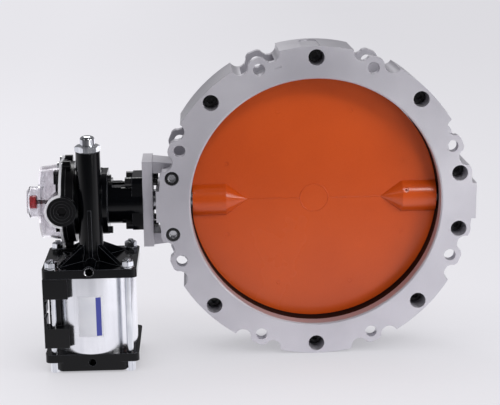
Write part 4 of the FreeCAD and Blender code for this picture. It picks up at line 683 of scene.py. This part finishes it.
FINISHES = [
    Finish("cast_aluminium", linear(212, 210, 216), linear(186, 184, 191), metallic=0.4,
           rough=0.4, fine=1400.0, cloud=9.0, bump=0.00003, radius=0.0008),
    Finish("seat_rubber", linear(22, 16, 16), linear(12, 9, 9), rough=0.6, shine=0.2),
    Finish("disc_coating", linear(212, 85, 24), linear(198, 75, 18), rough=0.26, cloud=7.0,
           fine=1200.0, bump=0.000004, shine=0.2, coat=0.4, radius=0.0006),
    Finish("shaft_steel", linear(190, 190, 194), linear(150, 150, 156), metallic=1.0,
           rough=0.28, surface=Surface.STREAKS, stretch=(1500.0, 40.0, 40.0), bump=0.00001),
    Finish("bronze", linear(176, 136, 84), linear(140, 102, 58), metallic=1.0, rough=0.4),
    # The edge colours of the black finishes are painted highlights on their sharp edges.
    Finish("black_paint", linear(6, 7, 10), linear(3, 4, 6), rough=0.15, fine=1600.0,
           bump=0.000006, shine=0.2, edge=linear(100, 102, 108), radius=0.0006),
    Finish("black_screws", linear(26, 26, 28), linear(14, 14, 16), rough=0.22, shine=0.5,
           edge=linear(96, 96, 100), radius=0.0004),
    Finish("zinc", linear(226, 228, 231), linear(192, 195, 202), metallic=1.0, rough=0.2,
           surface=Surface.STREAKS, stretch=(400.0, 400.0, 12.0), bump=0.000003, radius=0.0004),
    Finish("barrel_metal", linear(236, 237, 241), linear(218, 219, 224), metallic=1.0,
           rough=0.24, surface=Surface.STREAKS, stretch=(70.0, 70.0, 5.0), bump=0.0000002),
    Finish("piston_metal", linear(190, 191, 196), linear(160, 161, 168), metallic=1.0,
           rough=0.3, surface=Surface.STREAKS, bump=0.00001),
    Finish("seal_rubber", linear(20, 20, 20), linear(12, 12, 12), rough=0.55, shine=0.3),
    Finish("black_plastic", linear(10, 10, 13), linear(6, 6, 8), rough=0.3, fine=2200.0,
           bump=0.00001, shine=0.25, edge=linear(84, 85, 88), radius=0.0006),
    Finish("red_plastic", linear(250, 70, 72), linear(240, 60, 62), rough=0.3, coat=0.2),
    Finish("grey_plastic", linear(168, 160, 160), linear(140, 130, 131), rough=0.45),
]


# -------------------------------------------------------------- sub-assemblies


@dataclass
class SubAssembly:
    """Sub-parts that go together, with the finish of each.

    Attributes:
        finishes: Material of each slot.
        slots: Record slot of each node.
        nodes: Nodes of this sub-assembly.
    """

    frame: dict
    finishes: dict[str, bpy.types.Material]
    slots: dict[str, str]
    nodes: list[str] = field(default_factory=list)

    def dress(self) -> None:
        """Give every node of this sub-assembly the finish of its slot."""
        for name in self.nodes:
            self.paint(self.frame["nodes"][name], self.slots[name])

    def paint(self, thing: bpy.types.Object, slot: str) -> None:
        """Put one finish on an object.

        Args:
            thing: The object.
            slot: Record slot of the finish.
        """
        thing.data.materials.clear()
        thing.data.materials.append(self.finishes[slot])
        LOG.info("%s wears %s", thing.name, slot)


@dataclass
class ValveBody(SubAssembly):
    """Two cast half shells, their screws and the rubber seat."""

    nodes: list[str] = field(default_factory=lambda: [
        "front_half_shell", "rear_half_shell", "seat_liner", "body_screws",
        "flush_body_screws", "drive_shaft_bush", "idle_shaft_bush", "shaft_seals"])


@dataclass
class DiscTrain(SubAssembly):
    """Disc, stub shafts and coupling."""

    nodes: list[str] = field(default_factory=lambda: [
        "disc", "disc_grub_screws", "drive_stub_shaft", "idle_stub_shaft", "shaft_coupling",
        "coupling_screw", "pinion", "pinion_key", "pinion_shaft"])


@dataclass
class Neck(SubAssembly):
    """Black bracket between the valve and the actuator, with its screws."""

    nodes: list[str] = field(default_factory=lambda: [
        "neck_bracket", "neck_flange_screws", "neck_pad_screws"])


@dataclass
class Actuator(SubAssembly):
    """Cylinder, head, rack and stroke stop.

    Attributes:
        rod_radius: Radius of the tie rods.
        pitch: Pitch of their thread.
        thread_length: Threaded stretch at each end.
        rod_nut_flats: Size across flats of the tie rod nuts.
        rod_nut_turns: Degrees by which each of them is turned.
        bore_room: Room between a thread and the bore of its nut.
        jam_turn: Degrees by which the jam nut is turned.
        dome_flat: Share of the stop screw's radius that is flat on top.
        dome_drop: Height of its rounded shoulder.
        dome_steps: Steps in the outline of that shoulder.
        nodes: Nodes of this sub-assembly.
    """

    rod_radius: float = 0.004
    pitch: float = 0.00125
    thread_length: float = 0.020
    rod_nut_flats: float = 0.013
    rod_nut_turns: tuple[float, ...] = (12.0, 40.0, 25.0, 5.0)
    bore_room: float = 0.00005
    jam_turn: float = 14.6
    dome_flat: float = 0.38
    dome_drop: float = 0.004
    dome_steps: int = 10
    nodes: list[str] = field(default_factory=lambda: [
        "actuator_head", "pinion_bushes", "rack", "rack_pad", "rod_seal", "rod_bush", "barrel",
        "barrel_seals", "bottom_head", "tie_rods", "tie_rod_washers", "tie_rod_nuts",
        "foot_nuts", "piston", "piston_seals", "piston_wear_band", "piston_nut",
        "stop_screw", "stop_jam_nut"])

    def build(self) -> None:
        """Make the threaded rods, the chamfered nuts and the domed stop screw."""
        low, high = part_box("tie_rods")
        spots = [(x, y) for y in (low.y + self.rod_radius, high.y - self.rod_radius)
                 for x in (low.x + self.rod_radius, high.x - self.rod_radius)]
        rods = [threaded_bar(self.rod_radius, low.z, high.z, self.pitch, self.thread_length)
                for _ in spots]
        self.stand_in("tie_rods", "valve_body", zip(rods, spots))
        low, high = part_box("tie_rod_nuts")
        nuts = [hexagon_nut(self.rod_nut_flats, self.rod_radius + self.bore_room, low.z, high.z,
                            turn) for turn in self.rod_nut_turns]
        self.stand_in("tie_rod_nuts", "valve_body", zip(nuts, spots))
        low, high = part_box("stop_screw")
        spot = ((low.x + high.x) / 2, (low.y + high.y) / 2)
        radius = (high.x - low.x) / 2
        self.stand_in("stop_screw", "stop",
                      [(turned_bar(self._stop_outline(radius, low.z, high.z)), spot)])
        low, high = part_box("stop_jam_nut")
        nut = hexagon_nut(min(high.x - low.x, high.y - low.y), radius + self.bore_room,
                          low.z, high.z, self.jam_turn)
        self.stand_in("stop_jam_nut", "valve_body", [(nut, spot)])

    def _stop_outline(self, radius: float, low: float, high: float) -> list[tuple[float, float]]:
        """Outline of the stop screw, with a flat top and a well rounded shoulder.

        Args:
            radius: Radius of the screw.
            low: Height of its lower end.
            high: Height of its top.

        Returns:
            Radius and height of each corner.
        """
        flat = radius * self.dome_flat
        turns = [math.pi / 2 * step / self.dome_steps for step in range(self.dome_steps + 1)]
        shoulder = [(flat + (radius - flat) * math.cos(turn),
                     high - self.dome_drop * (1 - math.sin(turn))) for turn in turns]
        return [(0.0, low), (radius, low), *shoulder, (0.0, high)]

    def stand_in(self, node: str, body: str, pieces: Iterable) -> None:
        """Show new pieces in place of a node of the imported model.

        Args:
            node: The node that they stand for.
            body: Body that they ride on.
            pieces: A mesh and the place of its axis for each piece.
        """
        things = []
        for count, (mesh, spot) in enumerate(pieces, start=1):
            thing = add_object(f"{node}_{count}_detail", mesh)
            thing.location = (*spot, 0)
            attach(thing, body)
            self.paint(thing, self.slots[node])
            things.append(thing)
        for thing in things:
            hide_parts(node)


@dataclass
class SwitchBox(SubAssembly):
    """Limit switch box with its clear cover and red indicator."""

    nodes: list[str] = field(default_factory=lambda: [
        "switch_box_base", "cable_port_plug", "switch_box_screws", "switch_cover",
        "cover_gasket", "cover_screws", "indicator_spindle", "indicator_knob", "switch_cams",
        "micro_switches", "switch_bracket", "terminal_block"])


@dataclass
class CylinderFittings(SubAssembly):
    """Clip-on valve bracket and the blank label."""

    nodes: list[str] = field(default_factory=lambda: ["valve_bracket", "barrel_label"])


# ----------------------------------------------------------------- turned shapes

THREAD_SEGMENTS = 24
THREAD_RINGS_PER_TURN = 6
THREAD_DEPTH = 0.6  # share of the pitch
THREAD_CHAMFER = 0.8  # share of the pitch
THREAD_CHAMFER_SLOPE = 0.7
TURNED_SEGMENTS = 64
SMOOTH_BELOW = math.radians(30)
NUT_STEPS_PER_SIDE = 12
NUT_FACE = 0.475  # radius of its end faces as a share of the size across flats
NUT_CHAMFER = math.radians(30)


def threaded_bar(radius: float, low: float, high: float, pitch: float,
                 length: float) -> bpy.types.Mesh:
    """Round bar along Z with a helical thread at each end.

    Args:
        radius: Outer radius.
        low: Height of the lower end.
        high: Height of the upper end.
        pitch: Thread pitch.
        length: Threaded length at each end.

    Returns:
        The closed mesh.
    """
    depth, chamfer = THREAD_DEPTH * pitch, THREAD_CHAMFER * pitch
    step = pitch / THREAD_RINGS_PER_TURN
    levels = [low + step * i for i in range(int(length / step) + 1)]
    levels += [high - step * i for i in reversed(range(int(length / step) + 1))]
    made = bmesh.new()
    rings = []
    for level in levels:
        end = min(level - low, high - level)
        ring = []
        for i in range(THREAD_SEGMENTS):
            share = i / THREAD_SEGMENTS
            phase = ((level - low) / pitch - share) % 1
            groove = depth * (1 - abs(2 * phase - 1)) if end < length - pitch else 0.0
            slope = max(0.0, chamfer - end) * THREAD_CHAMFER_SLOPE
            reach = radius - max(groove, slope)
            angle = 2 * math.pi * share
            ring.append(made.verts.new((reach * math.cos(angle), reach * math.sin(angle), level)))
        rings.append(ring)
    for lower, upper in zip(rings, rings[1:]):
        for i in range(THREAD_SEGMENTS):
            after = (i + 1) % THREAD_SEGMENTS
            face = made.faces.new((lower[i], lower[after], upper[after], upper[i]))
            face.smooth = True
    made.faces.new(list(reversed(rings[0])))
    made.faces.new(rings[-1])
    return finished_mesh("threaded_bar", made)


def turned_bar(outline: list[tuple[float, float]]) -> bpy.types.Mesh:
    """Solid turned about Z.

    Args:
        outline: Radius and height of each corner; it starts and ends on the axis.

    Returns:
        The closed mesh, smooth except at sharp corners of the outline.
    """
    made = bmesh.new()
    angles = [2 * math.pi * i / TURNED_SEGMENTS for i in range(TURNED_SEGMENTS)]
    rings = [[made.verts.new((radius * math.cos(angle), radius * math.sin(angle), level))
              for angle in angles] for radius, level in outline[1:-1]]
    foot, tip = (made.verts.new((0, 0, level)) for _, level in (outline[0], outline[-1]))
    for i in range(TURNED_SEGMENTS):
        after = (i + 1) % TURNED_SEGMENTS
        made.faces.new((foot, rings[0][after], rings[0][i]))
        made.faces.new((tip, rings[-1][i], rings[-1][after]))
        for lower, upper in zip(rings, rings[1:]):
            made.faces.new((lower[i], lower[after], upper[after], upper[i]))
    for face in made.faces:
        face.smooth = True
    made.normal_update()
    for edge in made.edges:
        edge.smooth = edge.calc_face_angle(0.0) < SMOOTH_BELOW
    return finished_mesh("turned_bar", made)


def hexagon_nut(flats: float, bore: float, low: float, high: float, turn: float) -> bpy.types.Mesh:
    """Hexagon nut about Z with both ends chamfered.

    Args:
        flats: Size across flats.
        bore: Radius of the bore.
        low: Height of the lower face.
        high: Height of the upper face.
        turn: Degrees by which it is turned.

    Returns:
        The closed mesh.
    """
    face_radius = NUT_FACE * flats
    outer, lower, upper = [], [], []
    for i in range(6 * NUT_STEPS_PER_SIDE):
        angle = math.radians(60 * i / NUT_STEPS_PER_SIDE)
        reach = flats / 2 / math.cos((angle % math.radians(60)) - math.radians(30))
        drop = max(0.0, reach - face_radius) * math.tan(NUT_CHAMFER)
        outer.append(angle + math.radians(turn))
        lower.append((reach, low + drop))
        upper.append((reach, high - drop))
    count = len(outer)
    stacks = [[(bore, low)] * count, [(face_radius, low)] * count, lower, upper,
              [(face_radius, high)] * count, [(bore, high)] * count]
    made = bmesh.new()
    rings = [[made.verts.new((radius * math.cos(angle), radius * math.sin(angle), level))
              for angle, (radius, level) in zip(outer, stack)] for stack in stacks]
    for one, other in zip(rings, rings[1:] + rings[:1]):
        for i in range(count):
            after = (i + 1) % count
            made.faces.new((one[i], one[after], other[after], other[i]))
    return finished_mesh("hexagon_nut", made)


# ----------------------------------------------------------------------- studio


@dataclass(frozen=True)
class Lamp:
    """Soft square lamp aimed at a point.

    Attributes:
        name: Name of the lamp.
        place: Where it stands.
        side: Side of its square.
        power: Watts.
    """

    name: str
    place: tuple[float, float, float]
    side: float
    power: float

    def build(self, target: Vector) -> None:
        """Place the lamp, facing a target."""
        data = bpy.data.lights.new(self.name, "AREA")
        data.energy = self.power
        data.size = self.side
        lamp = add_object(self.name, data)
        lamp.location = self.place
        lamp.rotation_mode = "QUATERNION"
        lamp.rotation_quaternion = (target - Vector(self.place)).to_track_quat("-Z", "Y")


@dataclass
class Studio:
    """Floor, lamps, background and camera.

    Attributes:
        background: Pale tone behind the object.
        even: Share of the floor's tone that comes straight from the background.
        ambient: Strength of the surroundings as light.
        mirrored_front: Their strength in reflections, on the camera's side.
        mirrored_back: Their strength in reflections, behind the object.
        mirrored_turn: Y of the directions where the first ends and the second starts.
        floor_reach: Half the side of the floor.
        floor_rough: Roughness of the floor.
        floor_tone: How light the floor looks at its left and at its right.
        floor_tone_span: X of that left and that right.
        contact_reach: How far the painted contact shadow reaches beside a thing.
        contact_tone: How light the floor stays in that painted shadow, where nothing of it is
            open.
        floor_near: Strength in reflections of the floor below the object.
        floor_far: Strength in reflections of the floor well in front of it.
        floor_depths: Y where the far one ends and the near one starts.
        floor_sides: Factors on those at the left and at the right.
        floor_sides_span: X of that left and that right.
        camera_place: Camera position.
        camera_target: Point on the middle line of the view.
        camera_roll: Roll in degrees.
        lens: Focal length in millimetres.
        sensor: Width of the sensor in millimetres.
        view_end: Length of the camera's view.
        lamps: The lamps.
    """

    background: Colour = linear(240, 239, 244)
    even: float = 0.82
    ambient: float = 0.36
    mirrored_front: float = 0.06
    mirrored_back: float = 0.26
    mirrored_turn: tuple[float, float] = (-0.1, 0.4)
    floor_reach: float = 14.0
    floor_rough: float = 0.9
    floor_tone: tuple[float, float] = (1.05, 0.94)
    floor_tone_span: tuple[float, float] = (-0.6, 0.5)
    contact_reach: float = 0.22
    contact_tone: float = 0.55
    floor_near: float = 1.5
    floor_far: float = 0.22
    floor_depths: tuple[float, float] = (-0.9, -0.25)
    floor_sides: tuple[float, float] = (0.75, 1.2)
    floor_sides_span: tuple[float, float] = (-0.3, 0.35)
    camera_place: tuple[float, float, float] = (-0.1393, -1.5579, 0.3746)
    camera_target: tuple[float, float, float] = (-0.0777, 0.0, -0.0064)
    camera_roll: float = -0.693
    lens: float = 94.66
    sensor: float = 36.0
    view_end: float = 60.0
    lamps: tuple[Lamp, ...] = (
        Lamp("key_lamp", (0.75, -0.55, 0.42), 0.35, 2.6),
        Lamp("low_lamp", (0.75, -1.1, -0.1), 0.4, 2.8),
        Lamp("high_lamp", (0.36, -1.2, 1.15), 0.4, 6.0),
        Lamp("left_lamp", (-1.0, -0.75, 0.55), 0.2, 0.5),
        Lamp("back_lamp", (-0.4, 1.4, 1.6), 0.8, 14.0),
    )

    def build(self, low: Vector, high: Vector) -> None:
        """Set up everything round the object.

        Args:
            low: Lowest corner of the object.
            high: Highest corner of the object.
        """
        middle = (low + high) / 2
        self._floor(low.z)
        self._world()
        for lamp in self.lamps:
            lamp.build(middle)
        self._camera()

    def _floor(self, level: float) -> None:
        """Lay a wide plain floor under the object."""
        made = bmesh.new()
        reach = self.floor_reach
        corners = [(-reach, -reach), (reach, -reach), (reach, reach), (-reach, reach)]
        made.faces.new([made.verts.new((x, y, level)) for x, y in corners])
        floor = add_object("floor", finished_mesh("floor", made))
        material, graph, shader = new_material("floor")
        shader.inputs["Base Color"].default_value = (*self.background, 1.0)
        shader.inputs["Roughness"].default_value = self.floor_rough
        glow = graph.add("ShaderNodeEmission")
        glow.inputs["Color"].default_value = (*self.background, 1.0)
        seen, mirrored, _ = self._rays(graph)
        axes = graph.axes(graph.place())
        # Painted shadow: the floor's glow darkens where things stand close, and it is painted
        # lighter at the left than at the right.
        open_sky = graph.add("ShaderNodeAmbientOcclusion")
        open_sky.inputs["Distance"].default_value = self.contact_reach
        tone = graph.math("MULTIPLY",
                          graph.span(axes["X"], *self.floor_tone_span, *self.floor_tone),
                          graph.span(open_sky.outputs["AO"], 0.0, 1.0, self.contact_tone, 1.0))
        reflected = graph.math("MULTIPLY",
                               graph.span(axes["Y"], *self.floor_depths, self.floor_far,
                                          self.floor_near),
                               graph.span(axes["X"], *self.floor_sides_span, *self.floor_sides))
        graph.feed(glow.inputs["Strength"],
                   graph.math("ADD", graph.math("MULTIPLY", seen, tone),
                              graph.math("MULTIPLY", mirrored, reflected)))
        share = graph.math("MAXIMUM", graph.math("MULTIPLY", seen, self.even), mirrored)
        mix = graph.add("ShaderNodeMixShader")
        graph.feed(mix.inputs[0], share)
        graph.feed(mix.inputs[1], shader.outputs[0])
        graph.feed(mix.inputs[2], glow.outputs[0])
        graph.feed(material.node_tree.nodes["Material Output"].inputs["Surface"], mix.outputs[0])
        floor.data.materials.append(material)
        floor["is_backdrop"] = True

    @staticmethod
    def _rays(graph: Graph) -> tuple[bpy.types.NodeSocket, bpy.types.NodeSocket,
                                     bpy.types.NodeSocket]:
        """Tell apart the rays that reach a surface.

        Args:
            graph: Graph of the material or of the world.

        Returns:
            Masks of what is seen directly, what is mirrored and what only gives light.
        """
        path = graph.add("ShaderNodeLightPath").outputs
        seen = graph.math("MAXIMUM", path["Is Camera Ray"], path["Is Transmission Ray"])
        return seen, path["Is Glossy Ray"], path["Is Diffuse Ray"]

    def _world(self) -> None:
        """Even pale surroundings, dimmer as light and in reflections than to the eye."""
        world = bpy.data.worlds.new("surroundings")
        bpy.context.scene.world = world
        world.use_nodes = True
        world.cycles.sampling_method = "NONE"
        graph = Graph(world.node_tree)
        back = world.node_tree.nodes["Background"]
        back.inputs["Color"].default_value = (*self.background, 1.0)
        seen, mirrored, soft = self._rays(graph)
        axes = graph.axes(graph.add("ShaderNodeTexCoord").outputs["Generated"])
        side = graph.span(axes["Y"], *self.mirrored_turn, self.mirrored_front,
                          self.mirrored_back)
        unseen = graph.math("ADD", graph.math("MULTIPLY", mirrored, side),
                            graph.math("MULTIPLY", soft, self.ambient))
        graph.feed(back.inputs["Strength"], graph.math("ADD", seen, unseen))

    def _camera(self) -> None:
        """Place the camera and aim it with its slight roll."""
        data = bpy.data.cameras.new("camera")
        data.sensor_width = self.sensor
        data.lens = self.lens
        data.clip_end = self.view_end
        camera = add_object("camera", data)
        place = Vector(self.camera_place)
        ahead = (Vector(self.camera_target) - place).normalized()
        level = ahead.cross(Vector((0, 0, 1))).normalized()
        upright = level.cross(ahead)
        roll = math.radians(self.camera_roll)
        right = level * math.cos(roll) + upright * math.sin(roll)
        top = upright * math.cos(roll) - level * math.sin(roll)
        turn = Matrix((right, top, -ahead)).transposed().to_4x4()
        camera.matrix_world = Matrix.Translation(place) @ turn
        bpy.context.scene.camera = camera


# ------------------------------------------------------------------------- main


PORT_RING = 0.0054  # radius of the bare metal round the upper air port
PORT_RING_FRONT = 0.0038  # how far in front of the port's place it ends
SCREW_HEAD = 0.008  # radius of the screw heads near the face
SCREW_SOCKET = 0.0047  # radius of the bare metal in their sockets


def bare_places(record: dict) -> dict[str, tuple[BareRing, ...]]:
    """Bare metal on coated parts: the upper air port and two sockets.

    Args:
        record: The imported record.

    Returns:
        The places of each material slot.
    """
    port = next(mount["pos_m"] for mount in record["mounts"] if mount["name"] == "close_air_port")
    low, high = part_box("flush_body_screws")
    middle = (low.x + high.x) / 2
    sockets = tuple(BareRing((middle, low.y, level), SCREW_SOCKET, high.y - low.y)
                    for level in (low.z + SCREW_HEAD, high.z - SCREW_HEAD))
    ring = BareRing(tuple(port), PORT_RING, -PORT_RING_FRONT)
    return {"black_paint": (ring,), "black_screws": sockets}


def main() -> None:
    """Load the frame, dress every sub-assembly and set up the studio."""
    logging.basicConfig(level=logging.INFO, format="%(name)s: %(message)s")
    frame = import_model()
    cad_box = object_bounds()
    effects = Effects()
    bare = bare_places(frame["record"])
    finishes = {finish.slot: replace(finish, bare=bare.get(finish.slot, ())).material(effects)
                for finish in FINISHES}
    clear = ClearFinish()
    finishes[clear.slot] = clear.material(effects, *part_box("switch_cover"))
    label = LabelFinish()
    finishes[label.slot] = label.material(effects, *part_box("barrel_label"))
    slots = {part["node"]: part["material_slot"] for part in frame["record"]["subparts"]}
    parts = [kind(frame, finishes, slots)
             for kind in (ValveBody, DiscTrain, Neck, Actuator, SwitchBox, CylinderFittings)]
    for part in parts:
        part.dress()
        if isinstance(part, Actuator):
            part.build()
    bpy.context.scene.view_settings.view_transform = "Standard"
    Studio().build(*cad_box)


if __name__ == "__main__":
    main()
